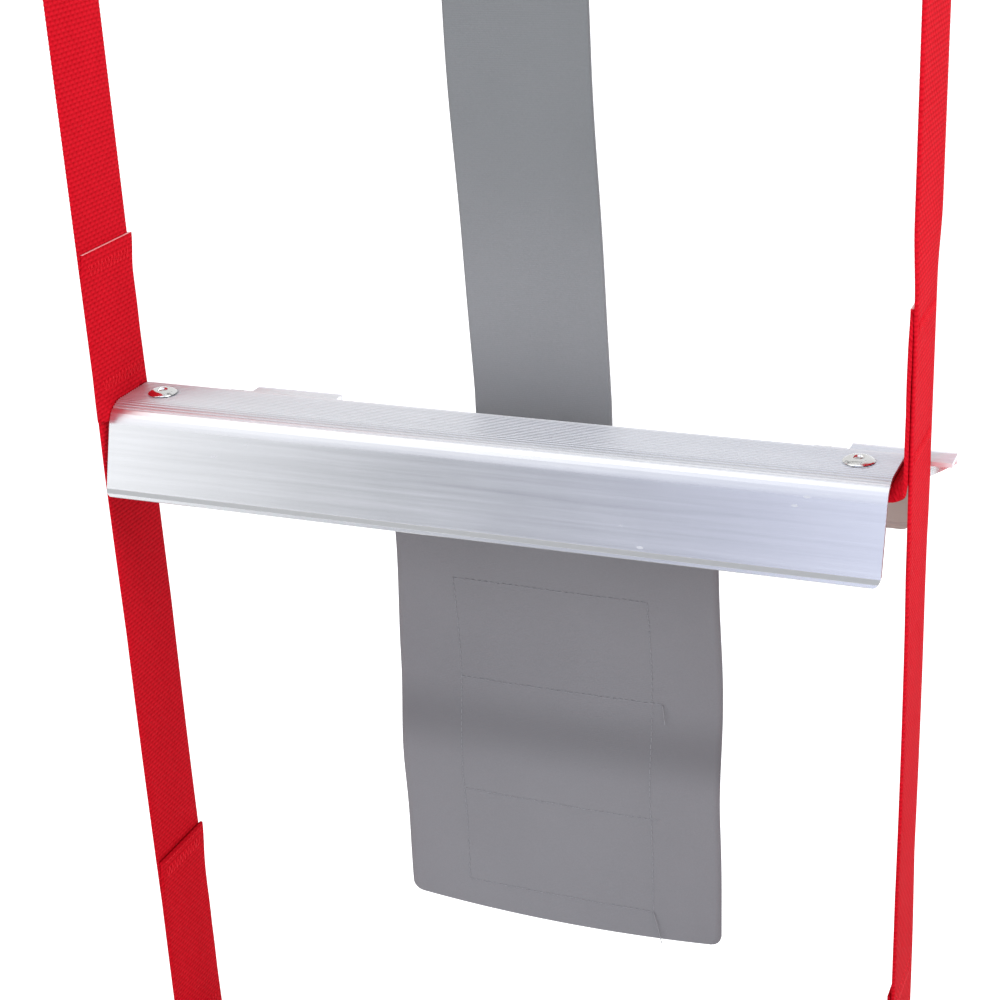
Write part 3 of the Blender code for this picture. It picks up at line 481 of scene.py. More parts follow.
def zinc_finish():
    made = Finish("bright_zinc")
    x, y, z = made.place()
    where = made.point(x, y, z)
    haze = made.noise(where, 120.0, 4.0)
    grain = made.noise(made.point(x * 80, y * 900, z * 900), 1.0, 2.0)
    made.set(Base_Color=made.blend(haze, rgba(0.72, 0.72, 0.71), rgba(0.93, 0.93, 0.92)), Metallic=1.0)
    made.set(Roughness=haze * 0.16 + 0.10, Normal=made.bump(haze + grain * 0.3, 0.03 * MM, 0.4))
    return made.material


def rubber_finish():
    made = Finish("black_rubber")
    x, y, z = made.place()
    where = made.point(x, y, z)
    skin = made.noise(where, 900.0, 3.0)
    bloom = made.noise(where, 45.0, 4.0)
    made.set(Base_Color=made.blend(bloom, rgba(0.012, 0.012, 0.013), rgba(0.040, 0.040, 0.041)))
    made.set(Roughness=bloom * 0.2 + 0.6, Normal=made.bump(skin, 0.08 * MM, 0.5))
    return made.material


def hook_tape_finish():
    made = Finish("black_hook_tape")
    x, y, z = made.place()
    sideways = (x * (2 * math.pi / HOOK_COLUMN)).wave()
    upwards = (z * (2 * math.pi / HOOK_ROW)).wave()
    hooks = (sideways * upwards) * 0.5 + 0.5
    fuzz = made.noise(made.point(x, y, z), 1500.0, 2.0)
    share = hooks * 0.7 + fuzz * 0.3
    made.set(Base_Color=made.blend(share, rgba(0.006, 0.006, 0.007), rgba(0.05, 0.05, 0.052)))
    made.set(Roughness=0.8, Normal=made.bump(hooks, 0.4 * MM, 0.8))
    return made.material


powder_coat = powder_finish()
zinc = zinc_finish()
rubber = rubber_finish()
hook_tape = hook_tape_finish()
print("made", powder_coat.name, zinc.name, rubber.name, hook_tape.name)

# %% [markdown]
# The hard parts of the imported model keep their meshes. Each gets the finish of its material slot, and
# the sharp plate edges of the hooks are broken by a narrow bevel, as deburred steel has.

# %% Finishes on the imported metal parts
BROKEN_EDGE = 0.5 * MM
METAL_OF_SLOT = {"painted_steel": powder_coat, "zinc_steel": zinc, "aluminium": aluminium, "rubber": rubber}
slot_of_node = {row["node"]: row["material_slot"] for row in frame["record"]["subparts"]}
for name, node in frame["nodes"].items():
    finish = METAL_OF_SLOT.get(slot_of_node[name])
    if finish is None:
        continue
    for index in range(len(node.material_slots)):
        node.material_slots[index].material = finish
    if name.startswith(("hook_left", "hook_right", "hanger", "sill")):
        edge = node.modifiers.new("broken edges", "BEVEL")
        edge.width = BROKEN_EDGE
        edge.segments = 2
        edge.limit_method = "ANGLE"
        edge.angle_limit = math.radians(50)
print("finished", sum(slot in METAL_OF_SLOT for slot in slot_of_node.values()), "metal and rubber parts")

# %% [markdown]
# ## A ribbon along a path
# Webbing is a flat ribbon with rounded selvedges. Its section is a long oval, and it is swept along a
# list of stations. Each station says where the middle of the ribbon is, which way its width runs, and
# which way is out of its face. Close stations let the selvedge show the small bumps of the weave.

# %% Ribbon tool


def oval_section(width, thick, flat_steps=10, round_steps=3):
    """Points (across, out) round the section of a ribbon, anticlockwise."""
    half, radius = width / 2, thick / 2
    run = [-half + radius + (width - thick) * k / flat_steps for k in range(flat_steps + 1)]
    turn = [math.pi / 2 - math.pi * k / (round_steps + 1) for k in range(1, round_steps + 1)]
    far_end = [(half - radius + radius * math.cos(a), radius * math.sin(a)) for a in turn]
    near_end = [(-half + radius - radius * math.cos(a), -radius * math.sin(a)) for a in turn]
    return [(p, radius) for p in run] + far_end + [(p, -radius) for p in reversed(run)] + near_end


def object_of(name, bm, materials, smooth=True):
    """A named object from a bmesh, in the ladder's frame."""
    mesh = bpy.data.meshes.new(name)
    bmesh.ops.recalc_face_normals(bm, faces=bm.faces)
    bm.to_mesh(mesh)
    bm.free()
    if smooth:
        mesh.shade_smooth()
        mesh.set_sharp_from_angle(angle=math.radians(50))
    for material in materials:
        mesh.materials.append(material)
    piece = bpy.data.objects.new(name, mesh)
    scene.collection.objects.link(piece)
    return piece


def ribbon(bm, stations, section, end_material):
    """Sweeps a closed section along stations (middle, across, out) and closes both ends."""
    rings = []
    for middle, across, out in stations:
        rings.append([bm.verts.new(middle + across * a + out * b) for a, b in section])
    for one, two in zip(rings, rings[1:]):
        for i in range(len(section)):
            j = (i + 1) % len(section)
            bm.faces.new((one[i], one[j], two[j], two[i]))
    for ring in (rings[0], rings[-1]):
        cap = bm.faces.new(ring)
        cap.material_index = end_material


print("ribbon section of 40 by 1.4 mm webbing:", len(oval_section(40 * MM, 1.4 * MM)), "points")

# %% [markdown]
# ## Side straps
# Each strap hangs in bays between the treads. A bay's cloth waves a fraction of a millimetre in and
# out of its face, so that light runs unevenly down it, and it is quite flat where a tab is sewn to it.
# The right strap also hangs turned a few degrees about its own upright line, between its tabs.

# %% Strap shapes
STRAP_STEP = 1.0 * MM
strap_boxes = {(k, side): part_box(f"strap_{k}_{side}") for k in (1, 2, 3) for side in SIDES}
web_thick = strap_boxes[2, "left"][1].x - strap_boxes[2, "left"][0].x
web_width = strap_boxes[2, "left"][1].y - strap_boxes[2, "left"][0].y
strap_x = abs(strap_boxes[2, "left"][0].x + strap_boxes[2, "left"][1].x) / 2
strap_y = {side: (strap_boxes[2, side][0].y + strap_boxes[2, side][1].y) / 2 for side in SIDES}
web_section = oval_section(web_width, web_thick)
tab_tops = {k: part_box(f"tab_{k}_left")[1].z for k in (1, 2, 3)}
LOOP_JOIN = 15 * MM               # from the hanger down to where the two layers meet
LOOP_SEWN = 38 * MM               # the length over which they are sewn together
LOOP_GAP = 0.3 * MM
sewn_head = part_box("hanger_left")[0].z - LOOP_JOIN
TWIST_ABOVE, TWIST_BELOW = math.radians(3.0), math.radians(1.0)
FLAT_AT_ENDS = 30 * MM            # where a bay's waves die out towards a tread
print("webbing", round(web_width / MM, 1), "by", round(web_thick / MM, 1), "mm")


def selvedge(z):
    """How far the weave swells the edge at a height: a bump for every row."""
    return 0.12 * MM * math.sin(2 * math.pi * z / WEAVE_ROW)


def sway(z, side):
    """A slow wave of the cloth out of its face."""
    return 0.35 * MM * math.sin(z * 21.0 + (0.7 if side == "left" else 2.3))


def ramp(value, low, high):
    """0 below low, 1 above high, and a soft ramp between."""
    share = min(1.0, max(0.0, (value - low) / (high - low)))
    return share * share * (3 - 2 * share)


def twist(z, side):
    """How the right strap is turned about its own upright line, where no tab holds it flat."""
    if side == "left":
        return Matrix.Identity(3)
    over = ramp(z, tab_tops[1] + 2 * MM, tab_tops[1] + 32 * MM)
    over *= 1 - ramp(z, sewn_head - 30 * MM, sewn_head)
    under = ramp(z, tab_tops[2], tab_tops[2] + 60 * MM)
    under *= 1 - ramp(z, treads[1] - 70 * MM, treads[1] - 10 * MM)
    return Matrix.Rotation(under * TWIST_BELOW - over * TWIST_ABOVE, 3, "Z")


def strap_piece(k, side):
    """One bay of a side strap between two treads."""
    sign = SIDES[side]
    top = treads[k - 1]
    foot = treads[k] if k < 3 else strap_boxes[k, side][0].z
    count = int((top - foot) / STRAP_STEP)
    stations = []
    for i in range(count + 1):
        z = top + (foot - top) * i / count
        ease = min(1.0, min(top - z, z - foot) / FLAT_AT_ENDS)
        middle = Vector((sign * (strap_x + abs(sway(z, side)) * ease), strap_y[side], z))
        across = Vector((0, 1 + selvedge(z) / (web_width / 2), 0))
        turn = twist(z, side)
        stations.append((middle, turn @ across, turn @ Vector((sign, 0, 0))))
    bm = bmesh.new()
    ribbon(bm, stations, web_section, end_material=1 if k == 3 else 0)
    return object_of(f"webbing_{k}_{side}", bm, [red_webbing, melted_edge])


def around_the_bar(side):
    """The middle line of the first bay, up to the hanger, round its bar and down again: X, Z pairs."""
    sign = SIDES[side]
    hanger_low, hanger_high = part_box(f"hanger_{side}")
    half = web_thick / 2
    plate_inner = min(abs(hanger_low.x), abs(hanger_high.x))
    inner_x = plate_inner - LOOP_GAP - half
    bar_foot = hanger_low.z
    over = strap_boxes[1, side][1].z - half
    turn = half + 0.6 * MM
    points = [(strap_x, treads[1]), (strap_x, over - turn)]
    for k in range(1, 5):
        a = math.pi / 2 * k / 4
        points.append((strap_x - turn + turn * math.cos(a), over - turn + turn * math.sin(a)))
    for k in range(5):
        a = math.pi / 2 * (1 + k / 4)
        points.append((inner_x + turn + turn * math.cos(a), over - turn + turn * math.sin(a)))
    doubled_x = strap_x - web_thick - LOOP_GAP
    sewn_top = bar_foot - LOOP_GAP - LOOP_JOIN
    points += [(inner_x, bar_foot), (inner_x, bar_foot - 0.25 * LOOP_JOIN),
               (doubled_x, sewn_top), (doubled_x, sewn_top - LOOP_SEWN)]
    return [(sign * x, z) for x, z in points]


def walk(points, step):
    """Evenly spaced points along a line of points, with a direction at each."""
    lengths = [0.0]
    for (x0, z0), (x1, z1) in zip(points, points[1:]):
        lengths.append(lengths[-1] + math.hypot(x1 - x0, z1 - z0))
    count = int(lengths[-1] / step)
    found, segment = [], 0
    for i in range(count + 1):
        at = lengths[-1] * i / count
        while segment < len(points) - 2 and lengths[segment + 1] < at:
            segment += 1
        share = (at - lengths[segment]) / max(lengths[segment + 1] - lengths[segment], 1e-9)
        (x0, z0), (x1, z1) = points[segment], points[segment + 1]
        found.append(Vector((x0 + (x1 - x0) * share, 0, z0 + (z1 - z0) * share)))
    return found, lengths[-1]


def top_strap_piece(side):
    """The first bay, looped through its hanger."""
    sign = SIDES[side]
    places, length = walk(around_the_bar(side), STRAP_STEP)
    stations = []
    for i, place in enumerate(places):
        ahead = (places[min(i + 1, len(places) - 1)] - places[max(i - 1, 0)]).normalized()
        out = Vector((ahead.z, 0, -ahead.x)) * sign
        across = Vector((0, 1 + selvedge(place.z) / (web_width / 2), 0))
        line = Vector((sign * strap_x, 0, place.z))
        turn = twist(place.z, side)
        middle = line + turn @ (place - line) + Vector((0, strap_y[side], 0))
        stations.append((middle, turn @ across, turn @ out))
    bm = bmesh.new()
    ribbon(bm, stations, web_section, end_material=0)
    bm.faces.ensure_lookup_table()
    bm.faces[len(bm.faces) - 1].material_index = 1
    print("first bay", side, "cut length", round(length, 3), "m in", len(stations), "stations")
    return object_of(f"webbing_1_{side}", bm, [red_webbing, melted_edge]), length


# %% [markdown]
# Each bay rides with the body above it. Its cut length is worked out: along the loop for the first bay,
# straight for the others.

# %% Straps on their bodies
BODY_ABOVE = {1: "ladder_head", 2: "rung_1_set", 3: "rung_2_set"}
for side in SIDES:
    for k in (1, 2, 3):
        if k == 1:
            strap, cut_length = top_strap_piece(side)
        else:
            strap = strap_piece(k, side)
            cut_length = treads[k - 1] - strap_boxes[k, side][0].z
        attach(strap, BODY_ABOVE[k])
        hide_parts(f"strap_{k}_{side}")
        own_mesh(strap)
    print("straps of", side, "side hang at x =", round(SIDES[side] * strap_x, 4))

# %% [markdown]
# ## Tabs
# A tab is a short piece of the same webbing. Its upper part lies flat on the strap's inner face, where
# bar tacks hold it. Below, it turns in under the tread, arched to the channel's inside, and the
# rivet goes through it. The surface is worked out in two directions, then given its thickness.

# %% Tab shape
RUNG_WALL = 2.0 * MM
TAB_BEND = {"left": 2.5 * MM, "right": 6.5 * MM}
TAB_GAP = 0.05 * MM               # between a tab and its strap
TAB_LIFT = 0.12 * MM              # the tab's own small waves
TAB_UNDER = 0.8 * MM              # between a tab and the underside of the tread
TAB_COLUMNS, TAB_LEVELS, BEND_STEPS, INNER_STEPS = 40, 55, 9, 16
SLIDE_BELOW, SLIDE_TOP = -1.5, 2.4    # mm that a tab sits off the strap's middle, and its slant above


def under_channel(across, depth):
    """Where webbing lies at a depth below the outside of the channel: Y from its middle, Z from its top."""
    radius = RUNG_CORNER - depth
    turn = min(max(abs(across) - FLAT_HALF, 0) / radius, math.pi / 2 - FLARE)
    past = max(abs(across) - FLAT_HALF - radius * (math.pi / 2 - FLARE), 0)
    y = min(abs(across), FLAT_HALF) + radius * math.sin(turn) + past * math.sin(FLARE)
    z = -RUNG_CORNER + radius * math.cos(turn) - past * math.cos(FLARE)
    if abs(across) <= FLAT_HALF:
        z = -depth
    return math.copysign(y, across), z


def tab_piece(k, side):
    """A tab from its cut top edge to its end inside the channel."""
    sign = SIDES[side]
    low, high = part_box(f"tab_{k}_{side}")
    rise = high.z - treads[k]
    tab_x = strap_x - web_thick - TAB_GAP
    inner_end = min(abs(low.x), abs(high.x))
    depth = RUNG_WALL + TAB_UNDER + web_thick / 2
    shift = strap_y[side] - ladder_y
    bend = TAB_BEND[side]
    flared = 0.03                     # how much wider the tab is at the tread, and over how many metres
    widths = [web_width * (c / TAB_COLUMNS - 0.5) for c in range(TAB_COLUMNS + 1)]
    grid = []
    for z in [rise * (1 - i / (TAB_LEVELS + 1)) for i in range(TAB_LEVELS)]:
        flare = 1 + flared * max(0.0, 1 - z / 0.03) ** 2
        slide = shift + (ramp(z, 0.75 * rise, rise) * SLIDE_TOP + SLIDE_BELOW) * MM
        row = []
        for across in widths:
            lift = TAB_LIFT * math.sin(across * 330 + z * 120) * math.sin(math.pi * z / rise) ** 2
            y = across * flare + slide
            row.append(Vector((sign * (tab_x - abs(lift)), ladder_y + y, treads[k] + z)))
        grid.append(row)
    for i in range(BEND_STEPS):
        turn = math.pi / 2 * i / (BEND_STEPS - 1)
        free = 1 - ramp(i, 0, 5)
        row = []
        for across in widths:
            y, z = under_channel(across, depth)
            x = tab_x - bend + bend * math.cos(turn)
            y += (across * (1 + flared) + shift + SLIDE_BELOW * MM - y) * free
            z_here = z + bend - bend * math.sin(turn)
            row.append(Vector((sign * x, ladder_y + y, treads[k] + z_here)))
        grid.append(row)
    start_x = tab_x - bend
    for i in range(1, INNER_STEPS + 1):
        x = start_x + (inner_end - start_x) * i / INNER_STEPS
        row = []
        for across in widths:
            y, z = under_channel(across, depth)
            row.append(Vector((sign * x, ladder_y + y, treads[k] + z)))
        grid.append(row)
    bm = bmesh.new()
    verts = [[bm.verts.new(p) for p in row] for row in grid]
    for one, two in zip(verts, verts[1:]):
        for c in range(TAB_COLUMNS):
            bm.faces.new((one[c], one[c + 1], two[c + 1], two[c]))
    tab = object_of(f"tab_webbing_{k}_{side}", bm, [tab_webbing, melted_edge])
    length = rise + math.pi / 2 * bend + start_x - inner_end
    return tab, length, rise


tab_webbing = webbing_finish("tab_webbing_weave", RED_BRIGHT_TAB, turns_under=True)
print("tab bends", {side: bend / MM for side, bend in TAB_BEND.items()}, "mm")

# %% [markdown]
# A Solidify modifier gives the tab its thickness, and a Boolean modifier cuts the rivet's hole. Both are
# applied, because a piece that flattens with a joint has to be a plain mesh. Later, the cut upper edge
# of the first tabs takes the second material, the melted thread.

# %% Thickness and holes
HOLE_RADIUS = 2.9 * MM


def settle(piece):
    """Replaces a piece's mesh by what its modifiers make of it."""
    graph = bpy.context.evaluated_depsgraph_get()
    mesh = bpy.data.meshes.new_from_object(piece.evaluated_get(graph))
    piece.modifiers.clear()
    piece.data = mesh
    return piece


def thicken(piece, thick):
    shell = piece.modifiers.new("cloth", "SOLIDIFY")
    shell.thickness = thick
    shell.offset = 0
    return settle(piece)


def drill_for_rivet(piece, k, side):
    """A round hole where the rivet passes."""
    low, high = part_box(f"rivet_{k}_{side}")
    bm = bmesh.new()
    bmesh.ops.create_cone(bm, cap_ends=True, segments=24, depth=0.03,
                          radius1=HOLE_RADIUS, radius2=HOLE_RADIUS)
    drill = object_of("drill", bm, [melted_edge], smooth=False)
    drill.location = ((low.x + high.x) / 2, (low.y + high.y) / 2, treads[k])
    bpy.context.view_layer.update()
    cut = piece.modifiers.new("rivet hole", "BOOLEAN")
    cut.operation = "DIFFERENCE"
    cut.solver = "EXACT"
    cut.object = drill
    settle(piece)
    bpy.data.objects.remove(drill)


print("holes for rivets are", 2 * HOLE_RADIUS / MM, "mm across")

# %% [markdown]
# ## Stitches
# A stitch is a short piece of thread that dips into the cloth at both ends. One function makes a row
# of them between two points on a flat face, another makes a zigzag, and all the stitches of one seam
# are a single mesh that rides on the cloth it holds.

# %% Stitch tools
STITCH_SIDES = 6
STITCH_SHAPE = [(0.0, -0.5), (0.14, 0.45), (0.5, 1.0), (0.86, 0.45), (1.0, -0.5)]    # share of run, lift


def thread_loop(bm, start, end, out, radius, rise):
    """One stitch: a bent six-sided tube from start to end, lifted off the cloth in its middle."""
    along = end - start
    side = along.normalized().cross(out)
    rings = []
    for share, lift in STITCH_SHAPE:
        middle = start + along * share + out * (rise * lift)
        ring = []
        for i in range(STITCH_SIDES):
            a = 2 * math.pi * i / STITCH_SIDES
            ring.append(bm.verts.new(middle + side * (radius * math.cos(a)) + out * (radius * math.sin(a))))
        rings.append(ring)
    for one, two in zip(rings, rings[1:]):
        for i in range(STITCH_SIDES):
            j = (i + 1) % STITCH_SIDES
            bm.faces.new((one[i], one[j], two[j], two[i]))
    bm.faces.new(rings[0])
    bm.faces.new(rings[-1])


def stitch_row(bm, start, end, out, pitch, length, radius, rise, rng):
    """A row of stitches, each a little uneven."""
    run = end - start
    count = max(1, int(run.length / pitch))
    step = run / count
    for i in range(count):
        slip = Vector([rng.uniform(-1, 1) * 0.12 * MM for _ in range(3)])
        slip -= out * slip.dot(out)
        first = start + step * i + slip
        thread_loop(bm, first, first + step.normalized() * length, out, radius, rise)


def zigzag(bm, start, end, out, width, pitch, radius, rise, rng):
    """A bar tack: slanted stitches that cross from side to side of a line."""
    run = end - start
    count = max(2, int(run.length / pitch))
    sideways = run.normalized().cross(out) * (width / 2)
    for i in range(count):
        hand = 1 if i % 2 else -1
        slip = run.normalized() * rng.uniform(-0.15, 0.15) * MM
        first = start + run * (i / count) + sideways * hand + slip
        last = start + run * ((i + 1) / count) - sideways * hand + slip
        thread_loop(bm, first, last, out, radius, rise)


print("a stitch has", STITCH_SIDES * len(STITCH_SHAPE), "corners")

# %% [markdown]
# Two bar tacks hold each tab, one near its top and one just above the tread, and both show on the tab's
# face and on the strap's outer face. The lower tabs also have a row of stitches along their top edge.
# Their thread has one mesh for each tab, and it rides on the tab's body.

# %% Tabs and their seams
TACK_WIDTH, TACK_PITCH, TACK_RADIUS, TACK_LIFT = 5 * MM, 1.3 * MM, 0.22 * MM, 0.12 * MM
TACK_BELOW_TOP, TACK_ABOVE_TREAD, TACK_INSET = 8 * MM, 9 * MM, 4 * MM
ROW_BELOW_TOP, ROW_PITCH, ROW_STITCH, ROW_RADIUS, ROW_LIFT = 2 * MM, 3.2 * MM, 2.2 * MM, 0.25 * MM, 0.2 * MM
ON_TAB, ON_STRAP = 0.12 * MM, 0.06 * MM    # how far a seam's middle line stands off each face


def tab_seam(k, side, rise):
    """The thread that shows on the tab's face and on the strap's outer face."""
    sign = SIDES[side]
    rng = random.Random(10 * k + (1 if side == "left" else 2))
    bm = bmesh.new()
    half = web_width / 2 - TACK_INSET
    faces = ((sign * (strap_x - 1.5 * web_thick - ON_TAB), Vector((-sign, 0, 0))),
             (sign * (strap_x + web_thick / 2 + ON_STRAP), Vector((sign, 0, 0))))

    def across_at(x, z):
        return [Vector((x, strap_y[side] + share * half, z)) for share in (-1, 1)]

    for x, out in faces:
        for z in (treads[k] + rise - TACK_BELOW_TOP, treads[k] + TACK_ABOVE_TREAD):
            zigzag(bm, *across_at(x, z), out, TACK_WIDTH, TACK_PITCH, TACK_RADIUS, TACK_LIFT, rng)
        if k > 1:
            ends = across_at(x, treads[k] + rise - ROW_BELOW_TOP)
            stitch_row(bm, *ends, out, ROW_PITCH, ROW_STITCH, ROW_RADIUS, ROW_LIFT, rng)
    return object_of(f"tab_seam_{k}_{side}", bm, [red_thread])


def pale_top(tab, k, rise):
    """Gives the first tab's cut upper edge the look of melted thread."""
    for face in tab.data.polygons:
        if face.normal.z > 0.7 and face.center.z > treads[k] + rise - 1 * MM:
            face.material_index = 1


for k in (1, 2, 3):
    for side in SIDES:
        tab, length, rise = tab_piece(k, side)
        thicken(tab, web_thick)
        if k == 1:
            pale_top(tab, k, rise)
        drill_for_rivet(tab, k, side)
        seam = tab_seam(k, side, rise)
        for piece in (tab, seam):
            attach(piece, f"rung_{k}_set")
            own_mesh(piece)
        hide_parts(f"tab_{k}_{side}")
print("tabs and seams made")

# %% [markdown]
# ## Rivets
# Each rung's end is held by a large-flange blind rivet. Its head is a shallow dome with a hole where
# the pull stem broke off. The head is turned from a profile with many points, and its rim is slightly
# uneven, as a formed rivet's is.

# %% Rivets
RIVET_SEGMENTS = 48
HEAD_TRIM = 0.4 * MM              # how much smaller the head is than its plain solid


def rivet_piece(k, side):
    low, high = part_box(f"rivet_{k}_{side}")
    centre = Vector(((low.x + high.x) / 2, (low.y + high.y) / 2, 0))
    radius = (high.x - low.x) / 2 - HEAD_TRIM
    top, foot = high.z, low.z
    seat = treads[k] + 0.3 * MM
    rng = random.Random(100 + k * 7 + SIDES[side])
    profile = [(0.0, top - 1.5 * MM), (1.4 * MM, top - 1.5 * MM), (1.5 * MM, top - 0.9 * MM),
               (2.1 * MM, top - 0.8 * MM), (2.3 * MM, top - 0.15 * MM), (2.6 * MM, top),
               (3.4 * MM, top - 0.05 * MM), (4.6 * MM, top - 0.25 * MM), (5.4 * MM, top - 0.65 * MM),
               (6.1 * MM, top - 1.05 * MM), (radius - 0.12 * MM, top - 1.3 * MM), (radius, top - 1.5 * MM),
               (radius - 0.15 * MM, seat), (2.4 * MM, seat), (2.4 * MM, foot + 3.2 * MM),
               (3.7 * MM, foot + 2.4 * MM), (3.85 * MM, foot + 1.2 * MM), (3.2 * MM, foot + 0.3 * MM),
               (1.8 * MM, foot), (0.0, foot)]
    wobble = [1 + rng.uniform(-0.012, 0.008) + 0.010 * math.cos(7 * 2 * math.pi * i / RIVET_SEGMENTS)
              for i in range(RIVET_SEGMENTS)]
    bm = bmesh.new()
    rings = []
    for r, z in profile:
        if r == 0.0:
            rings.append([bm.verts.new(centre + Vector((0, 0, z)))])
            continue
        ring = []
        for i in range(RIVET_SEGMENTS):
            a = 2 * math.pi * i / RIVET_SEGMENTS
            grow = min(1.0, wobble[i]) if r > 5 * MM else 1.0
            ring.append(bm.verts.new(centre + Vector((r * grow * math.cos(a), r * grow * math.sin(a), z))))
        rings.append(ring)
    for one, two in zip(rings, rings[1:]):
        for i in range(RIVET_SEGMENTS):
            j = (i + 1) % RIVET_SEGMENTS
            loop = [one[i % len(one)], one[j % len(one)], two[j % len(two)], two[i % len(two)]]
            bm.faces.new(list(dict.fromkeys(loop)))
    return object_of(f"rivet_head_{k}_{side}", bm, [zinc])


for k in (1, 2, 3):
    for side in SIDES:
        rivet = rivet_piece(k, side)
        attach(rivet, f"rung_{k}_set")
        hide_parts(f"rivet_{k}_{side}")
print("six rivets turned")

# %% [markdown]
# ## Storage strap
# A grey strap hangs from its own rod behind the first rung: a narrow tail above, a wide panel below.
# It is one sheet of cloth, so it is built as a fine grid. Each row knows how wide the cloth is at its
# height, and slow waves push the grid in and out, as a strap that has been folded keeps them.

# %% Storage strap shape
strap_low, strap_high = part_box("storage_strap")
panel_left, panel_right = strap_low.x, strap_high.x
panel_foot = strap_low.z
rod_low, rod_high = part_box("storage_rod")
rod_z = (rod_low.z + rod_high.z) / 2
rod_y = (rod_low.y + rod_high.y) / 2
storage_mid = (panel_left + panel_right) / 2
panel_half = (panel_right - panel_left) / 2
panel_top = treads[1] - 20 * MM
TAIL_HALF = 32 * MM
SHOULDER = 12 * MM
CORNER = 5 * MM
CLOTH_THICK = 1.5 * MM
DRAWN_IN = 4.5 * MM               # how far the panel's upper left edge is pulled in
SAG = 2.5 * MM                    # how far the middle of the lower edge hangs below its corners
LEAN_OF_TAIL = 0.030
DENTS = (0.135, 0.034, 2.4 * MM), (0.190, 0.026, -2.8 * MM)    # below the tread, reach, push to the back
CURL = 2.0 * MM
print("panel", round(2 * panel_half / MM), "mm wide,", round((panel_top - panel_foot) / MM), "mm high")


def tail_middle(z):
    """The tail leans a little to the left on its way up to the rod."""
    rise = max(0.0, z - treads[1])
    return storage_mid - LEAN_OF_TAIL * rise


def cloth_edges(z):
    """The left and right edge of the cloth at a height."""
    if z > panel_top:
        middle = tail_middle(z)
        return middle - TAIL_HALF, middle + TAIL_HALF
    share = min(1.0, (panel_top - z) / SHOULDER)
    left = storage_mid - TAIL_HALF + (panel_left - storage_mid + TAIL_HALF) * share
    right = storage_mid + TAIL_HALF + (panel_right - storage_mid - TAIL_HALF) * share
    round_off = max(0.0, CORNER - (z - panel_foot))
    inset = CORNER - math.sqrt(max(0.0, CORNER ** 2 - round_off ** 2))
    drawn_in = DRAWN_IN * (1 - ramp(treads[1] - z, 0.07, 0.14)) * share
    return left + inset + drawn_in, right - inset


def cloth_wave(x, z):
    """How far the cloth stands out towards the back."""
    drop = treads[1] - z
    tail = 0.9 * MM * math.sin(z * 34 + 0.6) + 0.5 * MM * math.sin(z * 61 + x * 9)
    dent = sum(push * math.exp(-((drop - at) / reach) ** 2) for at, reach, push in DENTS)
    curl = CURL * ((x - storage_mid) / 0.08) ** 2 * min(1.0, max(0.0, drop - 0.05) / 0.1)
    ease = min(1.0, max(0.0, (rod_z - z) / 0.05))
    return (tail + (dent + curl if drop > 0 else 0.0)) * ease


def cloth_heights():
    """The heights of the grid's rows below the rod: close where the outline turns, wider elsewhere."""
    heights = []
    z = rod_z
    while z > panel_foot + 1e-6:
        heights.append(z)
        near_edge = z < panel_foot + 2 * CORNER or panel_top - 1.5 * SHOULDER < z < panel_top + SHOULDER
        z -= 1.0 * MM if near_edge else 3.0 * MM
    return heights + [panel_foot]


def storage_cloth():
    """The grid of the whole strap, with its loop round the rod."""
    columns, loop_steps = 48, 20
    rows = []
    loop_radius = (rod_high.z - rod_low.z) / 2 + LOOP_GAP + CLOTH_THICK / 2
    for i in range(loop_steps):
        a = -math.pi * 1.25 + math.pi * 1.25 * i / loop_steps
        left, right = cloth_edges(rod_z)
        row = []
        for c in range(columns + 1):
            x = left + (right - left) * c / columns
            row.append(Vector((x, rod_y + loop_radius * math.cos(a), rod_z + loop_radius * math.sin(-a))))
        rows.append(row)
    for z in cloth_heights():
        left, right = cloth_edges(z)
        to_middle = loop_radius * (1 - ramp(rod_z - z, 0.0, 0.03))
        near_foot = ramp(panel_foot + 0.03 - z, 0.0, 0.03)
        row = []
        for c in range(columns + 1):
            x = left + (right - left) * c / columns
            sag = SAG * (1 - ((x - storage_mid) / panel_half) ** 2) * near_foot
            row.append(Vector((x, rod_y + to_middle + cloth_wave(x, z), z - sag)))
        rows.append(row)
    bm = bmesh.new()
    verts = [[bm.verts.new(p) for p in row] for row in rows]
    for one, two in zip(verts, verts[1:]):
        for c in range(columns):
            bm.faces.new((one[c], one[c + 1], two[c + 1], two[c]))
    cloth = object_of("storage_cloth", bm, [grey_fabric])
    return thicken(cloth, CLOTH_THICK)


storage_cloth_piece = storage_cloth()
print("storage strap faces:", len(storage_cloth_piece.data.polygons))

# %% [markdown]
# The panel carries three strips of hook tape on its back. From the front only the stitching shows: an
# upright row at each side, four level rows between them, and two loose ends of thread.

# %% Panel stitching
SEAM_LEFT, SEAM_RIGHT = -48 * MM, 47 * MM      # the upright rows, from the strap's middle
SEAM_DROPS = 93, 146, 205, 257                 # the level rows, mm below the tread
SEAM_PITCH, SEAM_STITCH = 3.0 * MM, 2.1 * MM


def on_cloth(x, z, lift=0.0):
    """A point on the front face of the panel."""
    return Vector((x, rod_y + cloth_wave(x, z) - CLOTH_THICK / 2 - lift, z))


def sew(bm, start, end, rng):
    """A row of stitches that follows the cloth between two (x, z) points."""
    run = Vector((end[0] - start[0], 0, end[1] - start[1]))
    count = int(run.length / SEAM_PITCH)
    for i in range(count):
        first = Vector((start[0], 0, start[1])) + run * (i / count)
        last = first + run.normalized() * SEAM_STITCH
        slip = rng.uniform(-0.15, 0.15) * MM
        a, b = on_cloth(first.x + slip, first.z + slip), on_cloth(last.x + slip, last.z + slip)
        thread_loop(bm, a, b, Vector((0, -1, 0)), 0.24 * MM, 0.10 * MM)


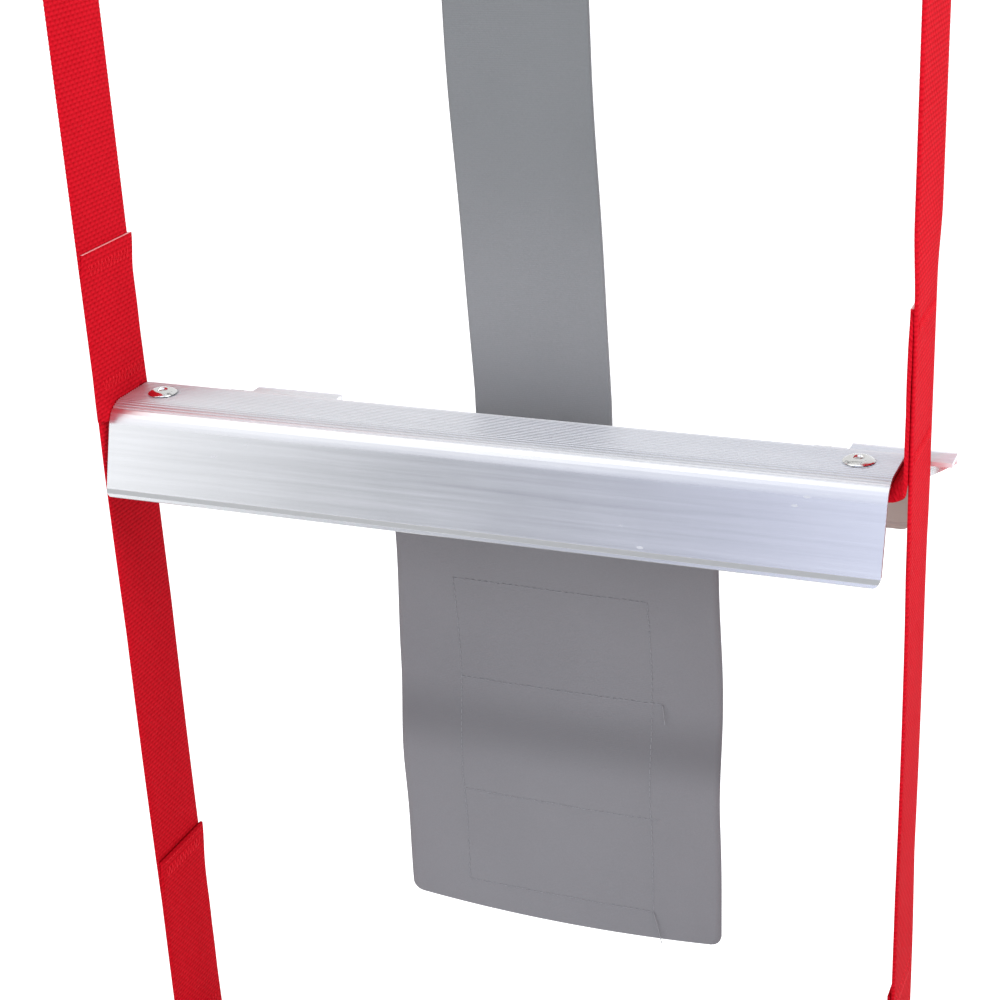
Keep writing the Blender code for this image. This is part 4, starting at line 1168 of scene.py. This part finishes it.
def loose_end(bm, points):
    """A free end of thread lying on the cloth along a few points."""
    places = [on_cloth(x, z, 0.3 * MM + lift) for x, z, lift in points]
    for a, b in zip(places, places[1:]):
        thread_loop(bm, a, b, Vector((0, -1, 0)), 0.22 * MM, 0.02 * MM)


def panel_stitching():
    rng = random.Random(7)
    bm = bmesh.new()
    left, right = storage_mid + SEAM_LEFT, storage_mid + SEAM_RIGHT
    rows_at = [treads[1] - drop * MM for drop in SEAM_DROPS]
    head, foot = rows_at[0], rows_at[-1]
    for x in (left, right):
        sew(bm, (x, head), (x, foot), rng)
    for i, z in enumerate(rows_at):
        overrun = 5 * MM if i in (1, 2) else 0.0
        sew(bm, (left, z), (right + overrun, z), rng)
    loose_end(bm, [(right + 5 * MM, rows_at[1], 0), (right + 6 * MM, rows_at[1] - 4 * MM, 1 * MM),
                   (right + 6.6 * MM, rows_at[1] - 9 * MM, 1 * MM)])
    loose_end(bm, [(right, foot, 0), (right + 2.5 * MM, foot - 8 * MM, 1 * MM),
                   (right + 4.2 * MM, foot - 16 * MM, 1 * MM)])
    return object_of("panel_stitching", bm, [grey_thread])


panel_seams = panel_stitching()
print("panel stitching:", len(panel_seams.data.polygons), "faces")

# %% [markdown]
# A strip of hook tape is a band with a plain border, and small hooks stand up inside the border. A grid
# with two layers makes the band, and every other point of its back layer is raised. The strip follows
# the waves of the cloth, so it lies on it everywhere.

# %% Hook tape strips
HOOK_HEIGHT = 0.5 * MM
TAPE_GAP = 0.1 * MM


def tape_piece(place):
    """A strip of hook tape: a band with a plain border and rows of small hooks."""
    low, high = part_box(f"hook_tape_{place}")
    thick = high.y - low.y
    columns, levels = 60, 30
    bm = bmesh.new()
    grid = []
    for r in range(levels + 1):
        z = low.z + (high.z - low.z) * r / levels
        row = []
        for c in range(columns + 1):
            x = low.x + (high.x - low.x) * c / columns
            edge = min(c, columns - c, r * 2, (levels - r) * 2)
            hooks = HOOK_HEIGHT * ((c + r) % 2) if edge > 3 else 0.0
            base = rod_y + cloth_wave(x, z) + CLOTH_THICK / 2 + TAPE_GAP
            back = base + thick - HOOK_HEIGHT + hooks
            row.append((bm.verts.new((x, base, z)), bm.verts.new((x, back, z))))
        grid.append(row)
    for one, two in zip(grid, grid[1:]):
        for c in range(columns):
            for face in (0, 1):
                bm.faces.new((one[c][face], one[c + 1][face], two[c + 1][face], two[c][face]))
    rim = [(grid[0][c], grid[0][c + 1]) for c in range(columns)]
    rim += [(grid[-1][c + 1], grid[-1][c]) for c in range(columns)]
    rim += [(grid[r + 1][0], grid[r][0]) for r in range(levels)]
    rim += [(grid[r][-1], grid[r + 1][-1]) for r in range(levels)]
    for a, b in rim:
        bm.faces.new((a[0], b[0], b[1], a[1]))
    return object_of(f"tape_{place}", bm, [hook_tape], smooth=False)


# %% [markdown]
# Cloth, stitching and tape all ride on the storage strap's body.

# %% Storage strap on its body
for place in ("upper", "middle", "lower"):
    tape = tape_piece(place)
    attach(tape, "storage_strap")
    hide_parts(f"hook_tape_{place}")
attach(storage_cloth_piece, "storage_strap")
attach(panel_seams, "storage_strap")
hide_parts("storage_strap")

# %% [markdown]
# ## Floor and light
# The ladder hangs well above a pale floor that fills the view. The floor glows a little of itself, so
# that it stays pale and even from every side.

# %% Floor
FLOOR_DROP = 0.35
FLOOR_GLOW = 0.47
floor_bm = bmesh.new()
bmesh.ops.create_grid(floor_bm, x_segments=1, y_segments=1, size=40)


def floor_finish():
    made = Finish("pale_floor")
    made.set(Base_Color=rgba(0.93, 0.93, 0.93), Roughness=0.9)
    made.set(Emission_Color=rgba(1, 1, 1), Emission_Strength=FLOOR_GLOW)
    return made.material


floor = object_of("floor", floor_bm, [floor_finish()], smooth=False)
floor.location.z = cad_box[0].z - FLOOR_DROP
print("floor at", round(floor.location.z, 3), "m")

# %% [markdown]
# Bare metal shows what is round it, so the sky decides how the rung looks. It is a ring of soft colours
# round the upright axis, given by the angle from straight in front, to the left when positive. A bluish
# bright patch in front, a darker one beside it and the brightest one to the left make the satin metal
# change slowly along its length. High up in front, the whole sky gets brighter, which lights the
# rounded front corner. The sky stands still with the ladder, whatever the camera does.

# %% Sky
world = bpy.data.worlds.new("studio")
scene.world = world
world.use_nodes = True
sky = Finish("studio", world.node_tree)
direction = sky.node("ShaderNodeTexCoord", output="Generated")
SKY = {-180: (0.76, 0.76, 0.77), -90: (0.55, 0.55, 0.56), -30: (0.80, 0.83, 0.90), 2: (1.16, 1.23, 1.48),
       12: (0.61, 0.63, 0.80), 17: (0.36, 0.37, 0.44), 25: (0.35, 0.36, 0.38), 38: (1.50, 1.50, 1.50),
       70: (1.1, 1.1, 1.1), 110: (0.70, 0.70, 0.70), 157: (0.71, 0.71, 0.71), 179: (0.76, 0.76, 0.77)}
SKY_STOPS = [(0.5 + degrees / 360, colour) for degrees, colour in SKY.items()]
SKY_LIGHT, SKY_OVERHEAD = 1.12, 0.38      # the strength all round, and what is added high up in front
flat_x, flat_y, flat_z = [sky.node("ShaderNodeSeparateXYZ", None, {0: direction}, axis) for axis in range(3)]
angle = sky.node("ShaderNodeMath", {"operation": "ARCTAN2"}, {0: flat_x * -1, 1: flat_y * -1})
ring_light = sky.node("ShaderNodeValToRGB", {"stops": SKY_STOPS}, {0: angle / (2 * math.pi) + 0.5})
in_front = (flat_y * -1).smooth_step(0.0, 0.3)
strength = flat_z.smooth_step(0.50, 0.97) * in_front * SKY_OVERHEAD + SKY_LIGHT
multiply = {"data_type": "RGBA", "blend_type": "MULTIPLY"}
lit = sky.node("ShaderNodeMix", multiply, {0: 1.0, 6: ring_light, 7: strength}, output=2)
background = world.node_tree.nodes["Background"]
sky.join(background.inputs["Color"], lit)
sky.join(background.inputs["Strength"], 1.0)
print("sky of", len(SKY_STOPS), "colours")

# %% [markdown]
# Two large lamps give the cloth its form. The left one is kept out of reflections, because its square
# would show in the metal.

# %% Lamps


def soft_lamp(name, place, target, size, watts):
    """A square area lamp that faces a point."""
    data = bpy.data.lights.new(name, "AREA")
    data.shape = "SQUARE"
    data.size = size
    data.energy = watts
    lamp = bpy.data.objects.new(name, data)
    scene.collection.objects.link(lamp)
    lamp.location = place
    lamp.rotation_mode = "QUATERNION"
    lamp.rotation_quaternion = (target - Vector(place)).to_track_quat("-Z", "Y")
    return lamp


rung_middle = Vector((rung_x, ladder_y, treads[1]))
left_lamp = soft_lamp("left lamp", rung_middle + Vector((-1.4, -1.9, 1.6)), rung_middle, 2.6, 13)
left_lamp.visible_glossy = False
soft_lamp("right lamp", rung_middle + Vector((1.5, -0.3, 1.3)), rung_middle, 1.0, 27)
scene.view_settings.view_transform = "Standard"
print("two lamps aimed at the first rung")
